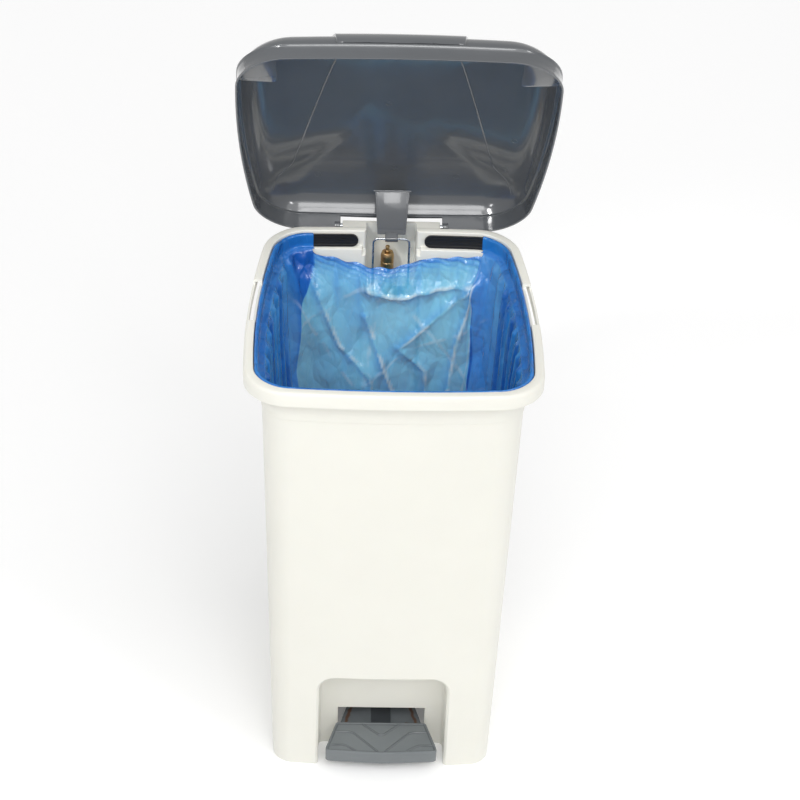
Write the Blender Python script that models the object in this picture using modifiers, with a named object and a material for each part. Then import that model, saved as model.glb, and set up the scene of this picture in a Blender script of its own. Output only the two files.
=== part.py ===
"""Pedal bin of about 60 litres: a moulded body with a hinged dome lid, opened by a foot pedal.

The pedal's lever turns on an axle under the bin's floor. Its rear end lifts a wire push rod, and the rod
turns the lid by an arm that hangs behind the rim. The bin is modelled with the pedal down and the lid open.
Metres, +Z up, the front faces -Y. Sizes are laid out from the middle of the rim; the finished bin is then
moved forward, so that its origin lies on the ground under the middle of the whole open bin.
"""
import math

import bmesh
import bpy
from mathutils import Matrix, Vector

# Driving dimensions of the body
RIM_DEPTH = 0.395
RIM_HEIGHT = 0.700
WALL = 0.0035
FLOOR_TOP = 0.182
BASE_SIDE_INSET = 0.040
BASE_END_INSET = 0.030
TOP_SIDE_INSET = 0.0222
TOP_END_INSET = 0.0182
STEP_HEIGHT = 0.640
LEDGE_HEIGHT = 0.6755

# Plan shape shared by the body, the bag, the ring and the lid
NARROWING = 0.0714
SIDE_BOW = 0.013
FRONT_BOW = 0.008
REAR_BOW = 0.003
RIM_CORNER = 0.050
CORNER_STEPS = 6
EDGE_STEPS = 8
HALF_WIDTH = 0.1837
ORIGIN_BEHIND_RIM = 0.0245

# Lid and hinge
LID_OPEN_ANGLE = math.radians(66)
HINGE_Y = 0.2115
HINGE_Z = 0.690
LIP_DROP = 0.008
LID_OVERHANG = 0.0149
LID_PANEL_HALF = 0.0825
LID_PANEL_RISE = 0.0038
HINGE_BLOCK_HALF = 0.069
LID_NOTCH_HALF = 0.0715
EAR_OUTER = 0.0800
EAR_RADIUS = 0.009
HINGE_PIN_RADIUS = 0.0035
PIN_CLEARANCE = 0.0004
BLOCK_BACK = 0.2180
BLOCK_TOP = 0.6955

# Push rod and the arm that holds it
HOOK_FORWARD = 0.012
HOOK_DROP = 0.0277
WIRE_RADIUS = 0.0016
ROD_HALF_WIDTH = 0.0254
ROD_END_X = 0.0120

# Pedal lever
PIVOT_Y = -0.020
PIVOT_Z = 0.0437
AXLE_RADIUS = 0.004
LEVER_ANGLE = math.radians(9.2)
LEVER_REACH = 0.172
ROD_END_Z = -0.00125
PLATE_BOTTOM = 0.005
PLATE_TOP = 0.008
CHEEK_OUTER = 0.0205

# Rod channel, recess and other openings in the body
CHANNEL_HALF = 0.0355
CHANNEL_BACK = 0.2140
RECESS_HALF_WIDTH = 0.094
RECESS_TOP = 0.174
RECESS_BACK = -0.118
RECESS_CORNER = 0.025
LEVER_SLOT_HALF = 0.065
LEVER_SLOT_TOP = 0.070
RING_GAP_HALF = 0.0465

# Damper
DAMPER_X = -0.0045
DAMPER_Y = 0.2000
BARREL_RADIUS = 0.0095
BARREL_TOP = 0.6550
PLUNGER_TOP = 0.6655
SHELF_TOP = 0.6040
SHELF_BOTTOM = 0.6000

for old in list(bpy.data.objects):
    bpy.data.objects.remove(old, do_unlink=True)
PARTS = bpy.data.collections.new("pedal_bin")
CUTTERS = bpy.data.collections.new("cutters")
bpy.context.scene.collection.children.link(PARTS)
bpy.context.scene.collection.children.link(CUTTERS)


def material(name, color, roughness, metallic=0.0, alpha=1.0):
    """A Principled material with one plain colour."""
    made = bpy.data.materials.new(name)
    made.use_nodes = True
    shader = made.node_tree.nodes["Principled BSDF"]
    shader.inputs["Base Color"].default_value = (*color, 1.0)
    shader.inputs["Roughness"].default_value = roughness
    shader.inputs["Metallic"].default_value = metallic
    shader.inputs["Alpha"].default_value = alpha
    return made


WHITE_PLASTIC = material("white_plastic", (0.86, 0.85, 0.80), 0.35)
GREY_PLASTIC = material("grey_plastic", (0.10, 0.11, 0.12), 0.40)
BLACK_PLASTIC = material("black_plastic", (0.01, 0.01, 0.01), 0.45)
BAG_FILM = material("bag_film", (0.10, 0.40, 0.80), 0.25, alpha=0.6)
ZINC_STEEL = material("zinc_steel", (0.65, 0.66, 0.68), 0.30, metallic=1.0)
GREY_STEEL = material("grey_steel", (0.16, 0.17, 0.18), 0.45, metallic=0.6)
BRASS = material("brass", (0.72, 0.50, 0.20), 0.30, metallic=1.0)


def add_object(name, mesh, look, collection=PARTS, parent=None):
    """Link a mesh as a named object, in its parent's own frame where it has one."""
    if look is not None:
        mesh.materials.clear()
        mesh.materials.append(look)
    made = bpy.data.objects.new(name, mesh)
    collection.objects.link(made)
    made.parent = parent
    return made


def add_cutter(name, mesh, parent=None):
    """A helper solid for a Boolean, left out of the finished object."""
    made = add_object(name, mesh, None, CUTTERS, parent)
    made.hide_render = True
    made.display_type = "WIRE"
    return made


def combine(target, operation, *others):
    """Join helper solids to the target or cut them from it, with live modifiers."""
    for other in others:
        modifier = target.modifiers.new(other.name, "BOOLEAN")
        modifier.operation = operation
        modifier.object = other
        modifier.solver = "EXACT"
    return target


def loft_mesh(name, rings):
    """A closed skin through rings of equal point count, capped at both ends."""
    work = bmesh.new()
    made = [[work.verts.new(point) for point in ring] for ring in rings]
    count = len(rings[0])
    for lower, upper in zip(made, made[1:]):
        for index in range(count):
            following = (index + 1) % count
            work.faces.new((lower[index], lower[following], upper[following], upper[index]))
    work.faces.new(made[0])
    work.faces.new(made[-1])
    bmesh.ops.recalc_face_normals(work, faces=work.faces)
    mesh = bpy.data.meshes.new(name)
    work.to_mesh(mesh)
    work.free()
    return mesh


def box_mesh(name, low, high):
    """A box between two corners."""
    work = bmesh.new()
    middle = (Vector(low) + Vector(high)) / 2
    extent = Vector(high) - Vector(low)
    place = Matrix.Translation(middle) @ Matrix.Diagonal((*extent, 1.0))
    bmesh.ops.create_cube(work, size=1.0, matrix=place)
    mesh = bpy.data.meshes.new(name)
    work.to_mesh(mesh)
    work.free()
    return mesh


def rod_mesh(name, radius, start, end, sides=24):
    """A cylinder between two points."""
    work = bmesh.new()
    along = Vector(end) - Vector(start)
    turn = along.to_track_quat("Z", "Y").to_matrix().to_4x4()
    place = Matrix.Translation((Vector(start) + Vector(end)) / 2) @ turn
    bmesh.ops.create_cone(work, cap_ends=True, segments=sides, radius1=radius, radius2=radius,
                          depth=along.length, matrix=place)
    mesh = bpy.data.meshes.new(name)
    work.to_mesh(mesh)
    work.free()
    return mesh


def curve_to_mesh(name, curve):
    """The welded mesh of a curve, which is then removed."""
    holder = bpy.data.objects.new(name + "_curve", curve)
    bpy.context.scene.collection.objects.link(holder)
    bpy.context.view_layer.update()
    evaluated = holder.evaluated_get(bpy.context.evaluated_depsgraph_get())
    mesh = bpy.data.meshes.new_from_object(evaluated)
    work = bmesh.new()
    work.from_mesh(mesh)
    bmesh.ops.remove_doubles(work, verts=work.verts, dist=0.00001)
    bmesh.ops.recalc_face_normals(work, faces=work.faces)
    work.to_mesh(mesh)
    work.free()
    bpy.data.objects.remove(holder, do_unlink=True)
    bpy.data.curves.remove(curve)
    return mesh


def outline_mesh(name, points, thickness, place=Matrix.Identity(4)):
    """A flat outline in XY, extruded by its thickness about Z = 0 and then placed."""
    curve = bpy.data.curves.new(name, "CURVE")
    curve.dimensions = "2D"
    curve.fill_mode = "BOTH"
    curve.extrude = thickness / 2
    spline = curve.splines.new("POLY")
    spline.points.add(len(points) - 1)
    for slot, (x, y) in zip(spline.points, points):
        slot.co = (x, y, 0.0, 1.0)
    spline.use_cyclic_u = True
    mesh = curve_to_mesh(name, curve)
    mesh.transform(place)
    return mesh


def side_outline_mesh(name, points, half_width, middle=0.0):
    """A side view, as (Y, Z) points, extruded along X."""
    place = Matrix.Translation((middle, 0, 0)) @ Matrix(((0, 0, 1, 0), (1, 0, 0, 0), (0, 1, 0, 0), (0, 0, 0, 1)))
    return outline_mesh(name, points, 2 * half_width, place)


def turned_mesh(name, profile, steps=24):
    """A closed profile of (radius, z) points turned about Z; it runs down the outer side first."""
    mesh = bpy.data.meshes.new(name)
    points = [(radius, 0.0, z) for radius, z in profile]
    edges = [(index, (index + 1) % len(points)) for index in range(len(points))]
    if profile[0][0] == 0.0:
        edges.pop()
    mesh.from_pydata(points, edges, [])
    holder = bpy.data.objects.new(name + "_profile", mesh)
    bpy.context.scene.collection.objects.link(holder)
    screw = holder.modifiers.new("turn", "SCREW")
    screw.steps = steps
    screw.render_steps = steps
    screw.use_merge_vertices = True
    screw.merge_threshold = 0.00001
    bpy.context.view_layer.update()
    evaluated = holder.evaluated_get(bpy.context.evaluated_depsgraph_get())
    turned = bpy.data.meshes.new_from_object(evaluated)
    work = bmesh.new()
    work.from_mesh(turned)
    bmesh.ops.remove_doubles(work, verts=work.verts, dist=0.00001)
    bmesh.ops.recalc_face_normals(work, faces=work.faces)
    work.to_mesh(turned)
    work.free()
    bpy.data.objects.remove(holder, do_unlink=True)
    return turned


def shade(target, angle=35):
    """Smooth the round faces and keep the edges sharp."""
    target.data.shade_smooth()
    target.data.set_sharp_from_angle(angle=math.radians(angle))
    return target


def joint_frame(name, location, angle):
    """An empty on a joint's axis, turned about X."""
    made = bpy.data.objects.new(name, None)
    made.location = location
    made.rotation_euler = (angle, 0, 0)
    PARTS.objects.link(made)
    return made


def rounded_box(half_x, half_y, corner, edge_steps=1):
    """Points of a rounded rectangle, anticlockwise from the front right corner."""
    points = []
    for side_x, side_y, start in ((1, -1, -90), (1, 1, 0), (-1, 1, 90), (-1, -1, 180)):
        for step in range(CORNER_STEPS + 1):
            angle = math.radians(start + 90 * step / CORNER_STEPS)
            x = side_x * (half_x - corner) + corner * math.cos(angle)
            y = side_y * (half_y - corner) + corner * math.sin(angle)
            points.append((x, y))
    full = []
    for index, point in enumerate(points):
        full.append(point)
        if index % (CORNER_STEPS + 1) == CORNER_STEPS:
            ahead = points[(index + 1) % len(points)]
            for step in range(1, edge_steps):
                share = step / edge_steps
                full.append((point[0] + (ahead[0] - point[0]) * share, point[1] + (ahead[1] - point[1]) * share))
    return full


def plan_ring(side_inset, end_inset, z, rear_inset=None):
    """One level of the bin: a rounded box, narrower at the rear, with bowed sides, at a distance in from the rim."""
    rear_inset = end_inset if rear_inset is None else rear_inset
    front = RIM_DEPTH / 2 - end_inset - FRONT_BOW
    rear = RIM_DEPTH / 2 - rear_inset - REAR_BOW
    half_y = (front + rear) / 2
    middle = (rear - front) / 2
    half_x = HALF_WIDTH - side_inset
    corner = max(RIM_CORNER - side_inset * 0.7, 0.012)
    ring = []
    for x, y in rounded_box(half_x, half_y, corner, EDGE_STEPS):
        across = x / half_x
        along = y / half_y
        bow = SIDE_BOW * (1 - along ** 2) * across
        end_bow = (FRONT_BOW if y < 0 else REAR_BOW) * (1 - across ** 2) * along
        ring.append((x * (1 - NARROWING * along) + bow, middle + y + end_bow, z))
    return ring


def wall_inset(z):
    """How far in the outer wall lies at a height, at the sides and at the ends."""
    share = z / STEP_HEIGHT
    side = BASE_SIDE_INSET + (TOP_SIDE_INSET + 0.0010 - BASE_SIDE_INSET) * share
    end = BASE_END_INSET + (TOP_END_INSET + 0.0010 - BASE_END_INSET) * share
    return side, end


def wall_ring(z, inward=0.0):
    """A level ring on the outer wall, or a distance inside it."""
    side, end = wall_inset(z)
    return plan_ring(side + inward, end + inward, z)


def make_body():
    """The one-piece bin: floor, wall, inner ledge, turned-over rim and hollow base."""
    floor_under = FLOOR_TOP - WALL
    housing_top = floor_under + 0.0010
    rings = [
        wall_ring(FLOOR_TOP, WALL + 0.012),
        wall_ring(FLOOR_TOP + 0.003, WALL + 0.003),
        wall_ring(FLOOR_TOP + 0.012, WALL),
        wall_ring(0.400, WALL),
        wall_ring(0.668, WALL),
        plan_ring(0.0245, 0.0215, LEDGE_HEIGHT),
        plan_ring(0.0125, 0.0125, LEDGE_HEIGHT),
        plan_ring(0.0125, 0.0125, 0.6980),
        plan_ring(0.0100, 0.0100, RIM_HEIGHT),
        plan_ring(0.0050, 0.0050, RIM_HEIGHT),
        plan_ring(0.0015, 0.0015, 0.6980),
        plan_ring(0.0000, 0.0000, 0.6930),
        plan_ring(0.0000, 0.0000, 0.6780),
        plan_ring(0.0030, 0.0030, 0.6780),
        plan_ring(0.0030, 0.0030, 0.6960),
        plan_ring(0.0090, 0.0090, 0.6960),
        plan_ring(0.0090, 0.0090, 0.6730),
        plan_ring(TOP_SIDE_INSET - 0.001, TOP_END_INSET - 0.001, 0.6690),
        plan_ring(TOP_SIDE_INSET, TOP_END_INSET, STEP_HEIGHT + 0.0010),
        wall_ring(STEP_HEIGHT),
        wall_ring(0.400),
        wall_ring(0.196),
        wall_ring(0.003),
        wall_ring(0.000, 0.0010),
        wall_ring(0.000, WALL),
        wall_ring(floor_under, WALL),
    ]
    body = add_object("body", loft_mesh("body", rings), WHITE_PLASTIC)
    spine = side_outline_mesh("spine", [
        (0.1690, 0.190), (0.1705, 0.190), (BLOCK_BACK - 0.0003, 0.540), (BLOCK_BACK - 0.0003, 0.6900),
        (0.1880, 0.6900), (0.1880, 0.6722), (0.1760, 0.666),
    ], CHANNEL_HALF + 0.006)
    block = box_mesh("block", (-HINGE_BLOCK_HALF, 0.1871, 0.6622), (HINGE_BLOCK_HALF, BLOCK_BACK, BLOCK_TOP))
    housing = loft_mesh("housing", [
        [(-0.097, -0.1625, 0.0), (0.097, -0.1625, 0.0), (0.097, RECESS_BACK + 0.003, 0.0),
         (-0.097, RECESS_BACK + 0.003, 0.0)],
        [(-0.097, -0.1655, housing_top), (0.097, -0.1655, housing_top),
         (0.097, RECESS_BACK + 0.003, housing_top), (-0.097, RECESS_BACK + 0.003, housing_top)],
    ])
    combine(body, "UNION", add_cutter("spine", spine), add_cutter("block", block), add_cutter("housing", housing))
    depth = 0.200
    recess_middle = (RECESS_TOP - depth) / 2
    recess_outline = [(x, z + recess_middle) for x, z in
                      rounded_box(RECESS_HALF_WIDTH, (RECESS_TOP + depth) / 2, RECESS_CORNER)]
    stand_up = Matrix.Translation((0, RECESS_BACK - depth / 2, 0)) @ Matrix.Rotation(math.radians(90), 4, "X")
    channel = side_outline_mesh("channel", [
        (0.150, 0.200), (0.1676, 0.200), (CHANNEL_BACK, 0.540), (CHANNEL_BACK, 0.720), (0.150, 0.720),
    ], CHANNEL_HALF)
    cutters = [
        add_cutter("recess", outline_mesh("recess", recess_outline, depth, stand_up)),
        add_cutter("lever_slot", box_mesh("lever_slot", (-LEVER_SLOT_HALF, -0.125, -0.01),
                                          (LEVER_SLOT_HALF, -0.108, LEVER_SLOT_TOP))),
        add_cutter("channel", channel),
        add_cutter("floor_slot", box_mesh("floor_slot", (-0.034, 0.1440, 0.165), (0.034, 0.1665, 0.190))),
    ]
    for side in (-1, 1):
        start = side * (HINGE_BLOCK_HALF - 0.012)
        bore = rod_mesh("pin_bore", HINGE_PIN_RADIUS + 0.0003, (start, HINGE_Y, HINGE_Z), (side * 0.075, HINGE_Y, HINGE_Z))
        cutters.append(add_cutter(f"pin_bore_{side}", bore))
        low = (min(side * 0.165, side * 0.21), -0.030, 0.6925)
        high = (max(side * 0.165, side * 0.21), 0.062, 0.7100)
        cutters.append(add_cutter(f"finger_notch_{side}", box_mesh("finger_notch", low, high)))
    combine(body, "DIFFERENCE", *cutters)
    return body


def make_ring():
    """The C-shaped ribbed band that holds the bag's mouth; it is open behind, where the lid's arm passes."""
    level = plan_ring(0.0160, 0.0160, 0.0)
    inner = plan_ring(0.0175, 0.0175, 0.0)
    outer = plan_ring(0.0145, 0.0145, 0.0)
    in_gap = [y > 0 and abs(x) < RING_GAP_HALF + 0.010 for x, y, z in level]
    count = len(level)
    first = next(index for index in range(count) if in_gap[index - 1] and not in_gap[index])
    path = [(first + step) % count for step in range(in_gap.count(False))]
    low, high = 0.6762, 0.6962
    middle, half = (low + high) / 2, (high - low) / 2

    def section(outside, inside, share):
        return [(outside[0], outside[1], middle - half * share), (outside[0], outside[1], middle + half * share),
                (inside[0], inside[1], middle + half * share), (inside[0], inside[1], middle - half * share)]

    def round_end(side):
        sections = []
        for degrees in (12, 35, 60, 90):
            angle = math.radians(degrees)
            x = side * (RING_GAP_HALF + half * (1 - math.cos(angle)))
            end_outer = (x, RIM_DEPTH / 2 - 0.0145 - REAR_BOW * (x / HALF_WIDTH) ** 2)
            end_inner = (x, RIM_DEPTH / 2 - 0.0175 - REAR_BOW * (x / HALF_WIDTH) ** 2)
            sections.append(section(end_outer, end_inner, math.sin(angle)))
        return sections

    along = [section(outer[index], inner[index], 1.0) for index in path]
    left_first = outer[path[0]][0] < 0
    start = round_end(-1 if left_first else 1)
    finish = round_end(1 if left_first else -1)
    return add_object("bag_ring", loft_mesh("bag_ring", start + along + finish[::-1]), BLACK_PLASTIC)


def make_bag():
    """The bag: a thin open tub just inside the wall, with its mouth turned over the ring."""
    film = 0.0010

    def level(z, inward):
        side, end = wall_inset(z)
        lean = 0.0240 * (1 - (z - FLOOR_TOP) / (0.670 - FLOOR_TOP))
        return plan_ring(side + WALL + inward, end + WALL + inward, z, end + WALL + inward + lean)

    rings = [
        level(FLOOR_TOP + 0.0020, 0.0120),
        level(FLOOR_TOP + 0.0050, 0.0040),
        level(FLOOR_TOP + 0.0150, 0.0020),
        level(0.4000, 0.0020),
        level(0.6680, 0.0040),
        plan_ring(0.0275, 0.0275, 0.6765),
        plan_ring(0.0185, 0.0185, 0.6800),
        plan_ring(0.0185, 0.0185, 0.6970),
        plan_ring(0.0141, 0.0141, 0.6970),
        plan_ring(0.0141, 0.0141, 0.6860),
        plan_ring(0.0131, 0.0131, 0.6860),
        plan_ring(0.0131, 0.0131, 0.6980),
        plan_ring(0.0195, 0.0195, 0.6980),
        plan_ring(0.0195, 0.0195, 0.6805),
        plan_ring(0.0285, 0.0285, 0.6770),
        level(0.6680, 0.0040 + film),
        level(0.4000, 0.0020 + film),
        level(FLOOR_TOP + 0.0150, 0.0020 + film),
        level(FLOOR_TOP + 0.0060, 0.0040 + film),
        level(FLOOR_TOP + 0.0030, 0.0120 + film),
    ]
    bag = add_object("bag", loft_mesh("bag", rings), BAG_FILM)
    half = [(0.115, 0.720), (0.115, 0.6742), (0.062, 0.6720), (0.025, 0.6550)]
    cut_outline = half + [(-x, z) for x, z in reversed(half)]
    facing_back = Matrix.Translation((0, 0.170, 0)) @ Matrix.Rotation(math.radians(90), 4, "X")
    mouth = outline_mesh("bag_mouth", cut_outline, 0.100, facing_back)
    return combine(bag, "DIFFERENCE", add_cutter("bag_mouth", mouth))


def make_lid(hinge):
    """The dome lid, built shut about the hinge axis, with a raised panel along its top and two hinge ears."""

    def ring(from_edge, height):
        inset = from_edge - LID_OVERHANG
        level = plan_ring(inset, inset + 0.0015, height - LIP_DROP)
        return [(x, y - HINGE_Y, z) for x, y, z in level]

    inner = [(0.1500, 0.0747), (0.1003, 0.0711), (0.0655, 0.0652), (0.0430, 0.0583), (0.0270, 0.0508),
             (0.0170, 0.0425), (0.0112, 0.0345), (0.0076, 0.0270), (0.0066, 0.0235), (0.0040, 0.0215), (0.0030, 0.0)]
    outer = [(0.0000, 0.0), (0.0009, 0.0200), (0.0020, 0.0240), (0.0045, 0.0262), (0.0080, 0.0355),
             (0.0150, 0.0450), (0.0260, 0.0540), (0.0420, 0.0615), (0.0650, 0.0682), (0.1000, 0.0741), (0.1500, 0.0777)]
    rings = [ring(from_edge, height) for from_edge, height in inner + outer]
    lid = add_object("lid_shell", loft_mesh("lid_shell", rings), GREY_PLASTIC, parent=hinge)
    ridge = [(-(from_edge + 0.0006), height - LIP_DROP) for from_edge, height in outer[4:]]
    front = -(RIM_DEPTH / 2 + HINGE_Y + LID_OVERHANG - 0.0015)
    ridge += [(front - y - 0.0006, z) for y, z in reversed(ridge)]
    panel = side_outline_mesh("lid_panel", raised_outline(ridge, LID_PANEL_RISE), LID_PANEL_HALF)
    combine(lid, "UNION", add_cutter("lid_panel", panel, hinge))
    for side in (-1, 1):
        ear = side_outline_mesh("ear", ear_outline(), (EAR_OUTER - LID_NOTCH_HALF - 0.001) / 2,
                                side * (EAR_OUTER + LID_NOTCH_HALF + 0.001) / 2)
        combine(lid, "UNION", add_cutter(f"ear_{side}", ear, hinge))
    notch = box_mesh("lid_notch", (-LID_NOTCH_HALF, -0.0120, -0.0200), (LID_NOTCH_HALF, 0.0300, 0.0100))
    combine(lid, "DIFFERENCE", add_cutter("lid_notch", notch, hinge))
    for side in (-1, 1):
        hole = rod_mesh("ear_hole", HINGE_PIN_RADIUS + PIN_CLEARANCE, (side * 0.060, 0, 0),
                        (side * (EAR_OUTER + 0.0003), 0, 0))
        combine(lid, "DIFFERENCE", add_cutter(f"ear_hole_{side}", hole, hinge))
    return lid


def raised_outline(ridge, rise):
    """A closed strip whose upper side lies above a line of (Y, Z) points, and its lower side just under it."""
    upper = [(y, z + rise) for y, z in ridge]
    lower = [(y, z - 0.0028) for y, z in ridge]
    return upper + lower[::-1]


def ear_outline():
    """A hinge ear's side view: a disc round the axis with a web up to the lid's rear skirt."""
    points = [(-0.0030, 0.0120), (-0.0030, 0.0165), (-0.0012, 0.0165)]
    for step in range(13):
        angle = math.radians(75 - 255 * step / 12)
        points.append((EAR_RADIUS * math.cos(angle), EAR_RADIUS * math.sin(angle)))
    return points[::-1]


def make_arm(hinge):
    """The lid's arm: a tapered plate down from the dome, ending in a hook round the rod's top bar."""
    root = Vector((0.0, -0.0490, 0.0285))
    tip = Vector((0.0, -HOOK_FORWARD, -0.0205))
    along = (tip - root).normalized()
    across = Vector((1, 0, 0))
    facing = across.cross(along)
    length = (tip - root).length
    place = Matrix((
        (*[across.x, along.x, facing.x], root.x),
        (*[across.y, along.y, facing.y], root.y),
        (*[across.z, along.z, facing.z], root.z),
        (0, 0, 0, 1),
    ))
    plate = outline_mesh("lid_arm", [(-0.0245, 0), (0.0245, 0), (0.0200, length), (-0.0200, length)], 0.0040, place)
    arm = add_object("lid_arm", plate, GREY_PLASTIC, parent=hinge)
    web_side = [(-0.0100, 0.0130), (-0.0115, 0.0205), (-0.0150, 0.0270), (-0.0210, 0.0345), (-0.0310, 0.0420),
                (-0.0475, 0.0490), (-0.0475, 0.0275), (-0.0245, -0.0030)]
    for side in (-1, 1):
        web = side_outline_mesh("web", web_side, 0.0013, side * 0.0178)
        combine(arm, "UNION", add_cutter(f"web_{side}", web, hinge))
    bar = Vector((-HOOK_FORWARD, -HOOK_DROP))
    outer = WIRE_RADIUS + 0.0030
    hook = [(bar.x - outer, bar.y + 0.0080), (bar.x - outer, bar.y)]
    hook += [(bar.x + outer * math.cos(math.radians(angle)), bar.y + outer * math.sin(math.radians(angle)))
             for angle in range(210, 361, 30)]
    hook += [(bar.x + outer, bar.y + 0.0080)]
    hook_solid = side_outline_mesh("hook", hook, 0.0090)
    combine(arm, "UNION", add_cutter("hook", hook_solid, hinge))
    tunnel = rod_mesh("tunnel", WIRE_RADIUS + 0.0004, (-0.040, bar.x, bar.y), (0.040, bar.x, bar.y))
    return combine(arm, "DIFFERENCE", add_cutter("tunnel", tunnel, hinge))


def make_pins():
    """Two plain pins, from the lid's ears into the ends of the hinge block."""
    for name, side in (("hinge_pin_left", -1), ("hinge_pin_right", 1)):
        start = (side * (HINGE_BLOCK_HALF - 0.0110), 0, 0)
        end = (side * (EAR_OUTER - 0.0003), 0, 0)
        pin = shade(add_object(name, rod_mesh(name, HINGE_PIN_RADIUS, start, end), ZINC_STEEL))
        pin.location = (0, HINGE_Y, HINGE_Z)


def open_lid_point(forward, up):
    """Where a point of the shut lid, given from the hinge axis, lies once the lid is open."""
    sine, cosine = math.sin(LID_OPEN_ANGLE), math.cos(LID_OPEN_ANGLE)
    return Vector((0, HINGE_Y - forward * cosine + up * sine, HINGE_Z + forward * sine + up * cosine))


def lever_point(along, up):
    """Where a point of the lever lies with the pedal down."""
    sine, cosine = math.sin(LEVER_ANGLE), math.cos(LEVER_ANGLE)
    return Vector((0, PIVOT_Y + along * cosine - up * sine, PIVOT_Z + along * sine + up * cosine))


def make_push_rod():
    """The push rod: one wire bent into an inverted U, with its ends turned inward through the lever."""
    top = open_lid_point(HOOK_FORWARD, -HOOK_DROP)
    bottom = lever_point(LEVER_REACH, ROD_END_Z)
    length = (top - bottom).length
    lean = -math.atan2(top.y - bottom.y, top.z - bottom.z)
    frame = joint_frame("rod_hinge", top, lean)
    bend = 0.0060
    half = [(ROD_END_X, -length), (ROD_HALF_WIDTH - bend, -length)]
    half += [(ROD_HALF_WIDTH - bend + bend * math.sin(math.radians(angle)),
              -length + bend - bend * math.cos(math.radians(angle))) for angle in (30, 60, 90)]
    half += [(ROD_HALF_WIDTH, -length * share) for share in (0.75, 0.5, 0.25)]
    half += [(ROD_HALF_WIDTH - bend + bend * math.cos(math.radians(angle)),
              -bend + bend * math.sin(math.radians(angle))) for angle in (0, 30, 60, 90)]
    path = half + [(-x, z) for x, z in reversed(half)]
    curve = bpy.data.curves.new("push_rod", "CURVE")
    curve.dimensions = "3D"
    curve.bevel_depth = WIRE_RADIUS
    curve.bevel_resolution = 2
    curve.use_fill_caps = True
    spline = curve.splines.new("POLY")
    spline.points.add(len(path) - 1)
    for slot, (x, z) in zip(spline.points, path):
        slot.co = (x, 0.0, z, 1.0)
    rod = add_object("push_rod", curve_to_mesh("push_rod", curve), ZINC_STEEL, parent=frame)
    return shade(rod)


def make_rod_cover():
    """The duct cover inside the rear wall that keeps the bag off the push rod."""

    def level(front, wall_face, z):
        inner, outer = 0.0365, 0.0385
        return [(-outer, wall_face, z), (-outer, front, z), (outer, front, z), (outer, wall_face, z),
                (inner, wall_face, z), (inner, front + 0.002, z), (-inner, front + 0.002, z), (-inner, wall_face, z)]

    rings = [level(0.1440, 0.1667, 0.1950), level(0.1690, 0.1735, 0.6000)]
    return add_object("rod_cover", loft_mesh("rod_cover", rings), WHITE_PLASTIC)


def make_damper():
    """The brass soft-close damper on its shelf: barrel, sprung plunger, lock nut, bracket and two screws."""
    place = (DAMPER_X, DAMPER_Y, 0)
    barrel = [(BARREL_RADIUS - 0.001, BARREL_TOP), (BARREL_RADIUS, BARREL_TOP - 0.001),
              (BARREL_RADIUS, SHELF_TOP + 0.0003), (0.0050, SHELF_TOP + 0.0003), (0.0050, 0.5900),
              (0.0, 0.5900), (0.0, 0.6200), (0.0040, 0.6200), (0.0040, BARREL_TOP)]
    shade(add_object("damper_barrel", turned_mesh("damper_barrel", barrel), BRASS)).location = place
    plunger = [(0.0, PLUNGER_TOP), (0.0028, PLUNGER_TOP), (0.0035, PLUNGER_TOP - 0.0008), (0.0035, 0.6320),
               (0.0, 0.6320)]
    shade(add_object("damper_plunger", turned_mesh("damper_plunger", plunger), BRASS)).location = place
    nut = add_object("damper_nut", rod_mesh("damper_nut", 0.0085, (0, 0, 0.5927), (0, 0, 0.5997), sides=6), BRASS)
    nut.location = place
    stub_hole = rod_mesh("stub_hole", 0.0054, (0, 0, 0.580), (0, 0, 0.610))
    hole = add_cutter("stub_hole", stub_hole)
    hole.location = place
    combine(nut, "DIFFERENCE", hole)
    flange_back = CHANNEL_BACK - 0.0003
    flange_front = flange_back - 0.0030
    bracket_side = [(0.1880, SHELF_BOTTOM), (flange_front, SHELF_BOTTOM), (flange_front, 0.5600),
                    (flange_back, 0.5600), (flange_back, SHELF_TOP), (0.1880, SHELF_TOP)]
    bracket = add_object("damper_bracket", side_outline_mesh("damper_bracket", bracket_side, 0.0220), ZINC_STEEL)
    combine(bracket, "DIFFERENCE", hole)
    for name, x in (("bracket_screw_left", -0.0150), ("bracket_screw_right", 0.0150)):
        screw_hole = add_cutter(name + "_hole", rod_mesh(name + "_hole", 0.0018, (x, 0.19, 0.574), (x, 0.22, 0.574)))
        combine(bracket, "DIFFERENCE", screw_hole)
        profile = [(0.0, 0.0022), (0.0024, 0.0022), (0.0034, 0.0010), (0.0034, 0.0), (0.0015, 0.0),
                   (0.0015, -0.0022), (0.0, -0.0022)]
        mesh = turned_mesh(name, profile, steps=16)
        mesh.transform(Matrix.Rotation(math.radians(90), 4, "X"))
        screw = add_object(name, mesh, ZINC_STEEL)
        screw.location = (x, flange_front - 0.0004, 0.574)


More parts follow.
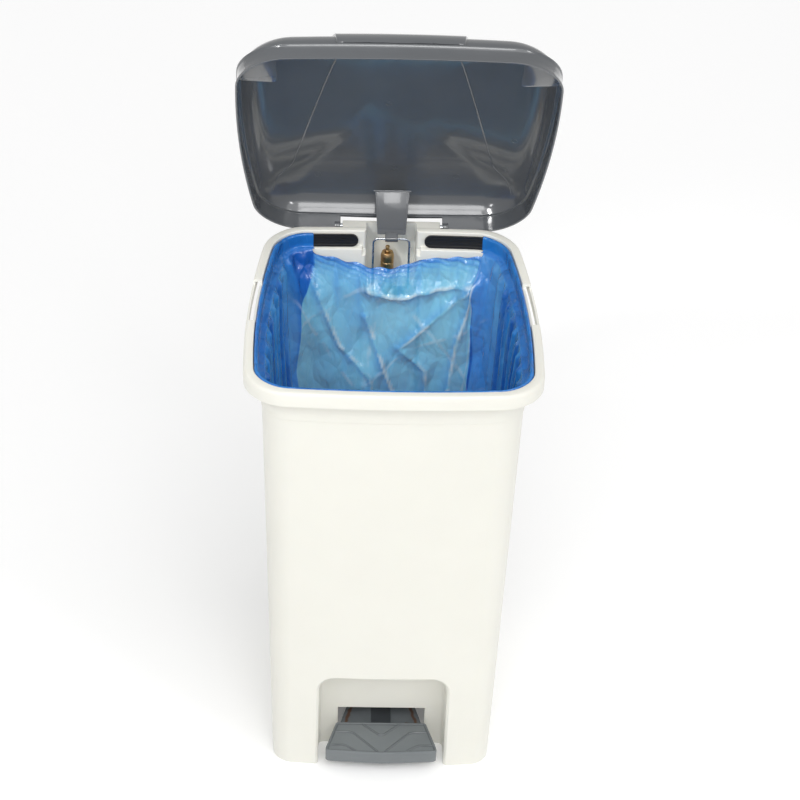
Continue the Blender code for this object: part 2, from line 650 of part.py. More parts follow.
def make_lever(pivot):
    """The pedal lever: a steel plate with a pressed channel, two cheeks and the rod's slots."""
    half = [(0.0585, -0.1490), (0.0520, -0.0980), (0.0450, -0.0600), (CHEEK_OUTER, -0.0300), (CHEEK_OUTER, 0.1820)]
    outline = half + [(-x, y) for x, y in reversed(half)]
    middle = (PLATE_BOTTOM + PLATE_TOP) / 2
    mesh = outline_mesh("pedal_lever", outline, PLATE_TOP - PLATE_BOTTOM, Matrix.Translation((0, 0, middle)))
    lever = add_object("pedal_lever", mesh, GREY_STEEL, parent=pivot)
    for side in (-1, 1):
        inner, outer = side * 0.0185, side * CHEEK_OUTER
        cheek = box_mesh("cheek", (min(inner, outer), -0.0250, -0.0095), (max(inner, outer), 0.1820, middle))
        combine(lever, "UNION", add_cutter(f"cheek_{side}", cheek, pivot))
    groove = box_mesh("groove", (-0.0145, -0.1600, PLATE_TOP - 0.0012), (0.0145, -0.0400, PLATE_TOP + 0.0100))
    slot = box_mesh("rod_slot", (-0.030, 0.1644, -0.0061), (0.030, 0.1749, 0.0010))
    axle_hole = rod_mesh("axle_hole", AXLE_RADIUS + 0.0003, (-0.030, 0, 0), (0.030, 0, 0))
    combine(lever, "DIFFERENCE", add_cutter("groove", groove, pivot), add_cutter("rod_slot", slot, pivot),
            add_cutter("axle_hole", axle_hole, pivot))
    for side in (-1, 1):
        hole = rod_mesh("pad_screw_hole", 0.0024, (side * 0.035, -0.1300, 0.0), (side * 0.035, -0.1300, 0.0120))
        combine(lever, "DIFFERENCE", add_cutter(f"pad_screw_hole_{side}", hole, pivot))
    return lever


def make_pad(pivot):
    """The foot pad on the lever's front end, with a lip over the lever's edge, and its two screws."""
    outline = [(-0.0655, -0.1056), (-0.0740, -0.1400), (-0.0800, -0.1500), (-0.0760, -0.1566), (0.0760, -0.1566),
               (0.0800, -0.1500), (0.0740, -0.1400), (0.0655, -0.1056)]
    low, high = PLATE_TOP + 0.0004, 0.0225
    mesh = outline_mesh("pedal_pad", outline, high - low, Matrix.Translation((0, 0, (low + high) / 2)))
    pad = add_object("pedal_pad", mesh, GREY_PLASTIC, parent=pivot)
    lip = box_mesh("pad_lip", (-0.0740, -0.1566, 0.0016), (0.0740, -0.1496, low + 0.001))
    combine(pad, "UNION", add_cutter("pad_lip", lip, pivot))
    for name, side in (("pad_screw_left", -1), ("pad_screw_right", 1)):
        profile = [(0.0, 0.0079), (0.0020, 0.0079), (0.0020, PLATE_BOTTOM - 0.0003),
                   (0.0040, PLATE_BOTTOM - 0.0003), (0.0034, 0.0025), (0.0, 0.0025)]
        screw = add_object(name, turned_mesh(name, profile, steps=16), ZINC_STEEL, parent=pivot)
        screw.location = (side * 0.035, -0.1300, 0)


def make_axle():
    """The lever's axle, the two hangers under the floor that carry it, and its end clips."""
    ends = ((-0.0640, PIVOT_Y, PIVOT_Z), (0.0640, PIVOT_Y, PIVOT_Z))
    shade(add_object("pedal_axle", rod_mesh("pedal_axle", AXLE_RADIUS, *ends), ZINC_STEEL))
    for name, side in (("left", -1), ("right", 1)):
        near, far = side * 0.0500, side * 0.0560
        hanger = box_mesh("axle_hanger", (min(near, far), PIVOT_Y - 0.012, 0.0320),
                          (max(near, far), PIVOT_Y + 0.012, FLOOR_TOP - WALL - 0.0003))
        hanger = add_object("axle_hanger_" + name, hanger, WHITE_PLASTIC)
        hole = rod_mesh("hanger_hole", AXLE_RADIUS + 0.0003, (side * 0.040, PIVOT_Y, PIVOT_Z),
                        (side * 0.070, PIVOT_Y, PIVOT_Z))
        combine(hanger, "DIFFERENCE", add_cutter("hanger_hole_" + name, hole))
        profile = [(0.0080, 0.0600), (0.0080, 0.0585), (AXLE_RADIUS + 0.0003, 0.0585), (AXLE_RADIUS + 0.0003, 0.0600)]
        mesh = turned_mesh("axle_clip_" + name, profile)
        mesh.transform(Matrix.Rotation(math.radians(90 * side), 4, "Y"))
        clip = add_object("axle_clip_" + name, mesh, ZINC_STEEL)
        clip.location = (0, PIVOT_Y, PIVOT_Z)


def make_pedal_bin():
    """The whole bin."""
    make_body()
    make_ring()
    make_bag()
    hinge = joint_frame("lid_hinge", (0, HINGE_Y, HINGE_Z), -LID_OPEN_ANGLE)
    make_lid(hinge)
    make_arm(hinge)
    make_pins()
    make_push_rod()
    make_rod_cover()
    make_damper()
    pivot = joint_frame("pedal_pivot", (0, PIVOT_Y, PIVOT_Z), LEVER_ANGLE)
    make_lever(pivot)
    make_pad(pivot)
    make_axle()
    for made in (*PARTS.objects, *CUTTERS.objects):
        if made.parent is None:
            made.location.y -= ORIGIN_BEHIND_RIM


make_pedal_bin()
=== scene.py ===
"""The looks of the pedal bin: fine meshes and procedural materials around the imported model."""
import math

import bmesh
import bpy
from mathutils import Matrix, Vector, noise
from mathutils.bvhtree import BVHTree


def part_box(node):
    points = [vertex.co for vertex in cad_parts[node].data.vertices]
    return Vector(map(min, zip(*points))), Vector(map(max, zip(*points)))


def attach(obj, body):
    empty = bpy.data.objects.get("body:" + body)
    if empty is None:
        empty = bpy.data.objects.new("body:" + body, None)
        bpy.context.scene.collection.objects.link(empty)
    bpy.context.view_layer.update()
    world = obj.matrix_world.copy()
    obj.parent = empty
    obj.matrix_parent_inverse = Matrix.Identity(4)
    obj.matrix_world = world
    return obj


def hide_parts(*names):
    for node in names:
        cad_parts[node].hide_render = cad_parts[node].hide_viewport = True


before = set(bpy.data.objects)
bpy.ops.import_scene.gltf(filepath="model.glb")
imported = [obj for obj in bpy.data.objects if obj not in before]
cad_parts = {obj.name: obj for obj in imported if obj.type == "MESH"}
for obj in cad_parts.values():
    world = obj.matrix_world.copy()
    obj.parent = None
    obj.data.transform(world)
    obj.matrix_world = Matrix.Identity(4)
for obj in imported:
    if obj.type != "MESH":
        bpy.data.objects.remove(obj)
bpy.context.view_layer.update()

# Driving sizes of the bin, laid out from the middle of its rim
RIM_DEPTH = 0.395
RIM_HEIGHT = 0.700
WALL = 0.0035
FLOOR_TOP = 0.182
BASE_SIDE_INSET, BASE_END_INSET = 0.040, 0.030
TOP_SIDE_INSET, TOP_END_INSET = 0.0222, 0.0182
STEP_HEIGHT = 0.640
LEDGE_HEIGHT = 0.6755
NARROWING = 0.0714
SIDE_BOW, FRONT_BOW, REAR_BOW = 0.013, 0.008, 0.003
RIM_CORNER = 0.050
HALF_WIDTH = 0.1837
CORNER_STEPS, EDGE_STEPS = 12, 20

LID_ANGLE = math.radians(66)
HINGE_Y, HINGE_Z = 0.2115, 0.690
LIP_DROP = 0.008
LID_OVERHANG = 0.0149
LID_FRONT = -(RIM_DEPTH / 2 + HINGE_Y + LID_OVERHANG - 0.0015)
LID_REAR = -0.0006
BLOCK_HALF, BLOCK_BACK, BLOCK_TOP = 0.069, 0.2180, 0.6955
NOTCH_HALF = 0.0715
EAR_OUTER, EAR_RADIUS = 0.0800, 0.0075
CHANNEL_HALF, CHANNEL_BACK = 0.0355, 0.2140
HOOK_FORWARD, HOOK_DROP = 0.012, 0.0277
WIRE_RADIUS = 0.0016
ROD_HALF_WIDTH = 0.0254
PIVOT_Y, PIVOT_Z = -0.020, 0.0437
LEVER_ANGLE = math.radians(9.2)
RECESS_HALF, RECESS_TOP, RECESS_BACK, RECESS_CORNER = 0.0908, 0.1708, -0.118, 0.024
RING_GAP_HALF = 0.0465
RING_LOW, RING_HIGH = 0.6762, 0.6962
DAMPER_X, DAMPER_Y = -0.0045, 0.2000

body_low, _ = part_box("body")
RIM_MIDDLE = Vector((0, body_low.y + RIM_DEPTH / 2, 0))
IN_ROW = Matrix.Translation(RIM_MIDDLE)
LID_FRAME = IN_ROW @ Matrix.Translation((0, HINGE_Y, HINGE_Z)) @ Matrix.Rotation(-LID_ANGLE, 4, "X")
LEVER_FRAME = IN_ROW @ Matrix.Translation((0, PIVOT_Y, PIVOT_Z)) @ Matrix.Rotation(LEVER_ANGLE, 4, "X")


# Materials ------------------------------------------------------------------------------------------------

class Look:
    """A Principled material with helpers for the nodes that feed it."""

    def __init__(self, name, color, roughness, metallic=0.0):
        self.material = bpy.data.materials.new(name)
        self.material.use_nodes = True
        self.nodes = self.material.node_tree.nodes
        self.links = self.material.node_tree.links
        self.shader = self.nodes["Principled BSDF"]
        self.set({"Base Color": color, "Roughness": roughness, "Metallic": metallic})
        self.place = self.nodes.new("ShaderNodeTexCoord").outputs["Object"]

    def feed(self, socket, value):
        """Give an input a number, a vector or a colour, or link it to another node's output."""
        if isinstance(value, bpy.types.NodeSocket):
            self.links.new(value, socket)
        elif socket.type == "RGBA":
            socket.default_value = (*value, 1.0)
        else:
            socket.default_value = value

    def set(self, inputs):
        """Give the shader's own inputs their values."""
        for name, value in inputs.items():
            self.feed(self.shader.inputs[name], value)

    def node(self, kind, inputs, **choices):
        """The outputs of a new node, with its choices made and its inputs fed."""
        made = self.nodes.new("ShaderNode" + kind)
        for name, value in choices.items():
            setattr(made, name, value)
        for name, value in inputs.items():
            self.feed(made.inputs[name], value)
        return made.outputs

    def stretched(self, scale):
        """Object coordinates, scaled apart along the axes."""
        return self.node("Mapping", {"Scale": scale, "Vector": self.place})["Vector"]

    def noise(self, scale, detail=3.0, place=None, distortion=0.0):
        """A noise value from 0 to 1."""
        inputs = {"Scale": scale, "Detail": detail, "Distortion": distortion, "Vector": place or self.place}
        return self.node("TexNoise", inputs)["Fac"]

    def between(self, value, low, high, to_low=0.0, to_high=1.0):
        """A value mapped from one range to another, and kept inside it."""
        inputs = {"From Min": low, "From Max": high, "To Min": to_low, "To Max": to_high, "Value": value}
        return self.node("MapRange", inputs)["Result"]

    def math(self, operation, first, second=0.0):
        """A Math node; each side is a socket or a number."""
        return self.node("Math", {0: first, 1: second}, operation=operation)[0]

    def attribute(self, name):
        """A value that the mesh carries at each point."""
        return self.node("Attribute", {}, attribute_name=name)["Fac"]

    def blend(self, share, first, second):
        """One colour turning into another; the first may be a socket."""
        return self.node("Mix", {"Factor": share, "A": first, "B": second}, data_type="RGBA")["Result"]

    def color(self, socket):
        self.links.new(socket, self.shader.inputs["Base Color"])

    def roughness(self, socket):
        self.links.new(socket, self.shader.inputs["Roughness"])

    def bump(self, height, distance, strength=1.0):
        """Relief from a height value; a second call adds to the first."""
        normal = self.shader.inputs["Normal"]
        inputs = {"Distance": distance, "Strength": strength, "Height": height}
        if normal.links:
            inputs["Normal"] = normal.links[0].from_socket
        self.links.new(self.node("Bump", inputs)["Normal"], normal)


def moulded(name, color, darker, roughness, grain):
    """Moulded plastic: fine grain, faint clouding and uneven gloss."""
    look = Look(name, color, roughness)
    clouds = look.noise(9.0, 4.0)
    look.color(look.blend(look.between(clouds, 0.35, 0.75), color, darker))
    smear = look.noise(30.0, 5.0, look.stretched((1.0, 1.0, 0.35)))
    look.roughness(look.between(smear, 0.3, 0.7, roughness - 0.05, roughness + 0.07))
    look.bump(look.noise(520.0, 2.0), grain)
    look.bump(look.noise(14.0, 2.0), 0.0006, 0.25)
    return look


def white_plastic():
    look = moulded("white_plastic", (0.805, 0.797, 0.732), (0.785, 0.777, 0.712), 0.34, 0.00002)
    look.set({"Subsurface Weight": 0.05, "Subsurface Radius": (0.004, 0.003, 0.002)})
    return look.material


def grey_plastic():
    look = moulded("grey_plastic", (0.086, 0.092, 0.100), (0.074, 0.080, 0.088), 0.20, 0.000006)
    look.set({"Specular IOR Level": 0.65, "Coat Weight": 0.9, "Coat Roughness": 0.07})
    return look.material


def pedal_plastic():
    """The foot pad's grey, with painted shade in the corners beside its ridges and just inside its rim."""
    look = moulded("pedal_plastic", (0.165, 0.183, 0.192), (0.142, 0.158, 0.167), 0.34, 0.00004)
    unshaded = look.shader.inputs["Base Color"].links[0].from_socket
    # Painted shade: the pad's grey darkened beside the chevron ridges and inside the rim.
    painted_shade = look.math("MULTIPLY", look.attribute("pad_painted_shade"), 0.55)
    look.color(look.blend(painted_shade, unshaded, (0.040, 0.046, 0.052)))
    return look.material


def black_plastic():
    return moulded("black_plastic", (0.010, 0.010, 0.011), (0.016, 0.016, 0.017), 0.32, 0.00003).material


def bag_film():
    """Thin glossy blue film: pale where one layer lies on the white wall, deep blue where it is gathered and
    where shade is painted in, with painted white highlights along the crease crests.
    """
    look = Look("bag_film", (0.16, 0.52, 0.90), 0.13)
    clouds = look.noise(9.0, 4.0, look.stretched((1.0, 1.0, 0.45)), 0.8)
    # The per-point depth deepens colour and opacity: partly film lying double, partly painted shade.
    deep = look.math("ADD", look.attribute("layers_and_shade"), look.between(clouds, 0.35, 0.75, -0.10, 0.14))
    look.links.new(look.between(deep, 0.0, 0.9, 0.58, 0.94), look.shader.inputs["Alpha"])
    pale = look.blend(look.between(clouds, 0.30, 0.65), (0.24, 0.76, 1.0), (0.13, 0.56, 0.95))
    middle = look.blend(look.between(deep, 0.10, 0.50), pale, (0.030, 0.270, 0.760))
    whole = look.blend(look.between(deep, 0.50, 1.0), middle, (0.008, 0.100, 0.450))
    broken = look.between(look.noise(34.0, 3.0), 0.40, 0.58)
    # Painted highlight: near-white lines along the crease crests, broken up by noise.
    crest_highlight = look.math("MULTIPLY", look.attribute("crest_highlight"), broken)
    look.color(look.blend(crest_highlight, whole, (0.80, 0.95, 1.0)))
    warp = look.node("TexNoise", {"Scale": 11.0, "Vector": look.place})["Color"]
    shift = look.node("VectorMath", {0: warp, "Scale": 0.016}, operation="SCALE")[0]
    wavy = look.node("VectorMath", {0: look.stretched((1.3, 1.0, 0.62)), 1: shift}, operation="ADD")[0]
    for size, depth in ((22.0, 0.0034), (60.0, 0.0010)):
        crumple = look.node("TexVoronoi", {"Scale": size, "Vector": wavy}, feature="DISTANCE_TO_EDGE")
        look.bump(look.between(crumple["Distance"], 0.0, 0.25), depth, 0.8)
    look.bump(look.noise(70.0, 5.0, look.stretched((1.0, 1.0, 0.4)), 1.2), 0.0008, 0.6)
    look.set({"Specular IOR Level": 0.8, "Coat Weight": 0.5, "Coat Roughness": 0.05})
    return look.material


def metal(name, color, darker, roughness, grain=900.0):
    look = Look(name, color, roughness, 1.0)
    mottle = look.noise(120.0, 5.0)
    look.color(look.blend(look.between(mottle, 0.4, 0.7), color, darker))
    look.roughness(look.between(look.noise(60.0, 4.0), 0.3, 0.7, roughness - 0.06, roughness + 0.12))
    look.bump(look.noise(grain, 2.0), 0.00003, 0.6)
    return look


def painted_steel():
    """Grey paint on the lever, worn to brown rust along its edges and at a chip, with painted shade in its
    middle channel.
    """
    look = Look("grey_steel", (0.165, 0.182, 0.194), 0.42)
    x, y, _ = look.node("SeparateXYZ", {0: look.place})
    from_middle = look.math("ABSOLUTE", x)
    half = look.between(y, -0.1080, -0.0580, 0.0620, 0.0475)
    from_edge = look.math("SUBTRACT", half, from_middle)
    waver = look.between(look.noise(140.0, 4.0), 0.3, 0.7, -0.0012, 0.0012)
    uneven = look.math("ADD", from_edge, waver)
    near_edge = look.between(uneven, 0.0085, 0.0105, 1.0, 0.0)
    rust = look.math("MULTIPLY", near_edge, look.between(uneven, 0.0040, 0.0058))
    # Painted shade: the paint darkened inside the pressed channel along the middle.
    channel = look.between(from_middle, 0.0138, 0.0150, 1.0, 0.0)
    chips = look.between(look.noise(55.0, 3.0), 0.70, 0.73)
    worn = look.math("MAXIMUM", look.math("MULTIPLY", rust, 0.85), look.math("MULTIPLY", chips, 0.8))
    clouds = look.between(look.noise(40.0, 4.0), 0.35, 0.7)
    paint = look.blend(clouds, (0.165, 0.182, 0.194), (0.130, 0.146, 0.158))
    shaded = look.blend(look.math("MULTIPLY", channel, 0.75), paint, (0.030, 0.034, 0.040))
    look.color(look.blend(worn, shaded, (0.120, 0.052, 0.022)))
    look.roughness(look.between(worn, 0.0, 1.0, 0.36, 0.80))
    look.bump(look.noise(700.0, 3.0), 0.00006)
    look.bump(worn, 0.0002, -0.6)
    return look.material


WHITE = white_plastic()
GREY = grey_plastic()
PEDAL_GREY = pedal_plastic()
BLACK = black_plastic()
FILM = bag_film()
ZINC = metal("zinc_steel", (0.66, 0.69, 0.73), (0.50, 0.53, 0.56), 0.24).material
BRASS = metal("brass", (0.62, 0.42, 0.20), (0.36, 0.20, 0.10), 0.30).material
STEEL = painted_steel()


# Mesh tools -----------------------------------------------------------------------------------------------

def new_object(mesh, look=None, place=IN_ROW):
    """Link a mesh as a piece of the same name, with one material."""
    if look is not None:
        mesh.materials.clear()
        mesh.materials.append(look)
    made = bpy.data.objects.new(mesh.name, mesh)
    made.matrix_world = place
    bpy.context.scene.collection.objects.link(made)
    return made


def mesh_from(name, points, faces):
    """A mesh with its faces pointing out."""
    mesh = bpy.data.meshes.new(name)
    mesh.from_pydata([tuple(point) for point in points], [], faces)
    work = bmesh.new()
    work.from_mesh(mesh)
    bmesh.ops.recalc_face_normals(work, faces=work.faces)
    work.to_mesh(mesh)
    work.free()
    return mesh


def loft_mesh(name, rings, capped=True):
    """A skin through closed rings of equal point count."""
    count = len(rings[0])
    points = [point for ring in rings for point in ring]
    faces = []
    for level in range(len(rings) - 1):
        for index in range(count):
            following = (index + 1) % count
            low, high = level * count, (level + 1) * count
            faces.append((low + index, low + following, high + following, high + index))
    if capped:
        faces.append(tuple(range(count))[::-1])
        faces.append(tuple(range((len(rings) - 1) * count, len(rings) * count)))
    return mesh_from(name, points, faces)


def soften(corners, steps=4):
    """Round a line's corners. Each is (numbers..., radius), where the radius is the length taken each way."""
    line = []
    for index, corner in enumerate(corners):
        here, radius = Vector(corner[:-1]), corner[-1]
        if radius == 0 or index in (0, len(corners) - 1):
            line.append(here)
            continue
        before, after = Vector(corners[index - 1][:-1]), Vector(corners[index + 1][:-1])
        start = here + (before - here) * min(radius / (before - here).length, 0.49)
        end = here + (after - here) * min(radius / (after - here).length, 0.49)
        for step in range(steps + 1):
            share = step / steps
            line.append(start * (1 - share) ** 2 + here * 2 * share * (1 - share) + end * share ** 2)
    return line


def prism_mesh(name, outline, low, high, plane="YZ"):
    """An outline extruded between two levels of the axis across its plane, one of XY, XZ and YZ."""
    order = {"XY": (0, 1, 2), "XZ": (0, 2, 1), "YZ": (2, 0, 1)}[plane]
    rings = [[(*point, level) for point in outline] for level in (low, high)]
    return loft_mesh(name, [[tuple(point[axis] for axis in order) for point in ring] for ring in rings])


def box_outline(low, high):
    return [(low[0], low[1]), (high[0], low[1]), (high[0], high[1]), (low[0], high[1])]


def box_mesh(name, low, high):
    return prism_mesh(name, box_outline(low, high), low[2], high[2], "XY")


def arc(middle, radius, start, end, steps):
    """Points along an arc, with the angles in degrees."""
    turns = [math.radians(start + (end - start) * step / steps) for step in range(steps + 1)]
    return [(middle[0] + radius * math.cos(turn), middle[1] + radius * math.sin(turn)) for turn in turns]


def lathe_mesh(name, profile, sides=48, wobble=None):
    """A profile of (radius, height), turned about Z. wobble scales the radius at an angle."""
    rings = []
    for radius, height in profile:
        ring = []
        for index in range(sides):
            turn = 2 * math.pi * index / sides
            scale = wobble(turn, height) if wobble else 1.0
            ring.append((radius * scale * math.cos(turn), radius * scale * math.sin(turn), height))
        rings.append(ring)
    return loft_mesh(name, rings)


def tube_mesh(name, path, radius, sides=12):
    """A round wire along a path of points, closed at both ends."""
    points = [Vector(point) for point in path]
    rings = []
    side = None
    for index, point in enumerate(points):
        ahead = points[min(index + 1, len(points) - 1)] - points[max(index - 1, 0)]
        ahead.normalize()
        if side is None:
            side = ahead.orthogonal().normalized()
        side = (side - ahead * side.dot(ahead)).normalized()
        other = ahead.cross(side)
        rings.append([point + (side * math.cos(turn) + other * math.sin(turn)) * radius
                      for turn in (2 * math.pi * step / sides for step in range(sides))])
    return loft_mesh(name, rings)


def settle(target):
    """Apply every modifier, so that the piece is plain mesh."""
    bpy.context.view_layer.update()
    evaluated = target.evaluated_get(bpy.context.evaluated_depsgraph_get())
    mesh = bpy.data.meshes.new_from_object(evaluated)
    target.modifiers.clear()
    target.data = mesh
    return target


def bevel(target, width, segments=3, angle=30):
    """Round the edges that are sharper than an angle."""
    modifier = target.modifiers.new("bevel", "BEVEL")
    modifier.width = width
    modifier.segments = segments
    modifier.limit_method = "ANGLE"
    modifier.angle_limit = math.radians(angle)
    modifier.harden_normals = False
    return settle(target)


def combine(target, operation, tools):
    """Join or cut with each tool in turn, and remove the tools."""
    for tool in tools:
        modifier = target.modifiers.new(tool.name, "BOOLEAN")
        modifier.operation = operation
        modifier.object = tool
        modifier.solver = "EXACT"
    settle(target)
    for tool in tools:
        bpy.data.objects.remove(tool, do_unlink=True)
    return target


def join(target, *others):
    """Put other pieces' meshes into the target's mesh, where they lie."""
    work = bmesh.new()
    work.from_mesh(target.data)
    for other in others:
        extra = other.data.copy()
        extra.transform(target.matrix_world.inverted() @ other.matrix_world)
        work.from_mesh(extra)
        bpy.data.objects.remove(other, do_unlink=True)
    work.to_mesh(target.data)
    work.free()
    return target


def smooth(target, angle=32):
    """Smooth the round faces and keep the edges."""
    target.data.shade_smooth()
    target.data.set_sharp_from_angle(angle=math.radians(angle))
    return target


def place_in_mesh(target):
    """Move a piece's place into its mesh, so that the box round the piece is no larger than the piece."""
    target.data.transform(target.matrix_world)
    target.matrix_world = Matrix.Identity(4)
    return target


def finish_piece(target, body, slot_name, *nodes):
    """Hang a piece under the empty of the body it rides on and hide the CAD nodes that it stands for;
    slot_name is not used.
    """
    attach(target, body)
    if nodes:
        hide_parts(*nodes)
    return target


# Plan shape -----------------------------------------------------------------------------------------------

def rounded_box(half_x, half_y, corner, corner_steps=CORNER_STEPS, edge_steps=1):
    """Points of a rounded rectangle, anticlockwise from the front right corner."""
    points = []
    for side_x, side_y, start in ((1, -1, -90), (1, 1, 0), (-1, 1, 90), (-1, -1, 180)):
        middle = (side_x * (half_x - corner), side_y * (half_y - corner))
        points.append(arc(middle, corner, start, start + 90, corner_steps))
    full = []
    for index, stretch in enumerate(points):
        full += stretch
        ahead = points[(index + 1) % 4][0]
        for step in range(1, edge_steps):
            share = step / edge_steps
            full.append((stretch[-1][0] + (ahead[0] - stretch[-1][0]) * share,
                         stretch[-1][1] + (ahead[1] - stretch[-1][1]) * share))
    return full


def plan_ring(side_inset, end_inset, z, rear_inset=None, corner_steps=CORNER_STEPS, edge_steps=EDGE_STEPS):
    """One level of the bin: a rounded box, narrower at the rear, with bowed sides."""
    rear_inset = end_inset if rear_inset is None else rear_inset
    front = RIM_DEPTH / 2 - end_inset - FRONT_BOW
    rear = RIM_DEPTH / 2 - rear_inset - REAR_BOW
    half_y = (front + rear) / 2
    middle = (rear - front) / 2
    half_x = HALF_WIDTH - side_inset
    corner = max(RIM_CORNER - side_inset * 0.7, 0.012)
    ring = []
    for x, y in rounded_box(half_x, half_y, corner, corner_steps, edge_steps):
        across = x / half_x
        along = y / half_y
        bow = SIDE_BOW * (1 - along ** 2) * across
        end_bow = (FRONT_BOW if y < 0 else REAR_BOW) * (1 - across ** 2) * along
        ring.append((x * (1 - NARROWING * along) + bow, middle + y + end_bow, z))
    return ring


def wall_inset(z):
    """How far in the outer wall lies at a height, at the sides and at the ends."""
    share = z / STEP_HEIGHT
    side = BASE_SIDE_INSET + (TOP_SIDE_INSET + 0.0010 - BASE_SIDE_INSET) * share
    end = BASE_END_INSET + (TOP_END_INSET + 0.0010 - BASE_END_INSET) * share
    return side, end


def wall(z, inward=0.0, radius=0.0):
    """A corner of the body's section on the outer wall, or a distance inside it."""
    side, end = wall_inset(z)
    return side + inward, end + inward, z, radius


def front_face(x, z):
    """The Y of the outer wall's front face."""
    side, end = wall_inset(z)
    across = x / (HALF_WIDTH - side)
    return -(RIM_DEPTH / 2 - end) + FRONT_BOW * across ** 2


def rear_inner_face(z):
    """The Y of the inner wall's rear face near the middle."""
    return RIM_DEPTH / 2 - wall_inset(z)[1] - WALL


# Body -----------------------------------------------------------------------------------------------------

def body_section():
    """The body's section, from the middle of the floor up inside, over the rim and down to the base."""
    under = FLOOR_TOP - WALL
    return [
        (*wall(FLOOR_TOP, WALL + 0.030)[:3], 0.0), wall(FLOOR_TOP, WALL, 0.014), wall(0.400, WALL),
        wall(0.668, WALL, 0.002),
        (0.0245, 0.0215, LEDGE_HEIGHT, 0.0020), (0.0125, 0.0125, LEDGE_HEIGHT, 0.0012),
        (0.0125, 0.0125, RIM_HEIGHT, 0.0025), (0.0, 0.0, RIM_HEIGHT, 0.0065), (0.0, 0.0, 0.6780, 0.0010),
        (0.0030, 0.0030, 0.6780, 0.0010), (0.0030, 0.0030, 0.6960, 0.0020), (0.0090, 0.0090, 0.6960, 0.0020),
        (0.0090, 0.0090, 0.6720, 0.0030),
        (TOP_SIDE_INSET - 0.001, TOP_END_INSET - 0.001, 0.6690, 0.0030),
        (TOP_SIDE_INSET, TOP_END_INSET, STEP_HEIGHT + 0.0010, 0.0006), wall(STEP_HEIGHT, 0.0, 0.0005),
        wall(0.400), wall(0.196), wall(0.0, 0.0, 0.0012), wall(0.0, WALL, 0.0012), wall(under, WALL, 0.004),
        (*wall(under, WALL + 0.030)[:3], 0.0),
    ]


def recess_cutter():
    """The pedal recess: a rounded opening whose mouth is flared along the bowed front wall."""
    flares = [(0.0062, -0.0120), (0.0050, -0.0014), (0.0033, 0.0003), (0.0019, 0.0012), (0.0008, 0.0022),
              (0.0002, 0.0034), (0.0, 0.0048)]
    back_fillet = [(0.0, 0.0080), (0.0010, 0.0040), (0.0035, 0.0012), (0.0080, 0.0)]
    below_ground = 0.200
    half_height = (RECESS_TOP + below_ground) / 2
    middle = (RECESS_TOP - below_ground) / 2

    def outline(outward):
        return rounded_box(RECESS_HALF + outward, half_height + outward, RECESS_CORNER + outward, 14, 24)

    rings = []
    for outward, inward in flares:
        rings.append([(x, front_face(x, max(z + middle, 0.0)) + inward, z + middle)
                      for x, z in outline(outward)])
    for inset, ahead in back_fillet:
        narrower = 1 - inset / RECESS_HALF
        shorter = 1 - inset / 0.4
        top = RECESS_TOP - inset
        rings.append([(x * narrower, RECESS_BACK - ahead, (z + middle - RECESS_TOP) * shorter + top)
                      for x, z in outline(0.0)])
    return new_object(loft_mesh("recess", rings))


def channel_cutter():
    """The rod's channel up the rear wall, with rounded edges where it opens through wall, ledge and rim."""
    low, low_back, slope_height = 0.200, 0.1676, 0.340
    rings = []
    for z, face in ((low, None), (0.540, None), (0.664, None), (0.6700, 0.1850), (0.720, 0.1850)):
        face = rear_inner_face(z) if face is None else face
        back = min(low_back + (CHANNEL_BACK - low_back) * (z - low) / slope_height, CHANNEL_BACK)
        flare = min(0.0045, (back - face) * 0.5)
        corner = min(0.0030, (back - face) * 0.4)
        side = [(CHANNEL_HALF + flare + 0.0015, 0.150), (CHANNEL_HALF + flare + 0.0015, face - 0.0012)]
        side += arc((CHANNEL_HALF + flare, face + flare - 0.0004), flare, 268, 180, 6)
        side += arc((CHANNEL_HALF - corner, back - corner), corner, 0, 90, 3)
        rings.append([(x, y, z) for x, y in side + [(-x, y) for x, y in reversed(side)]])
    return new_object(loft_mesh("channel", rings))


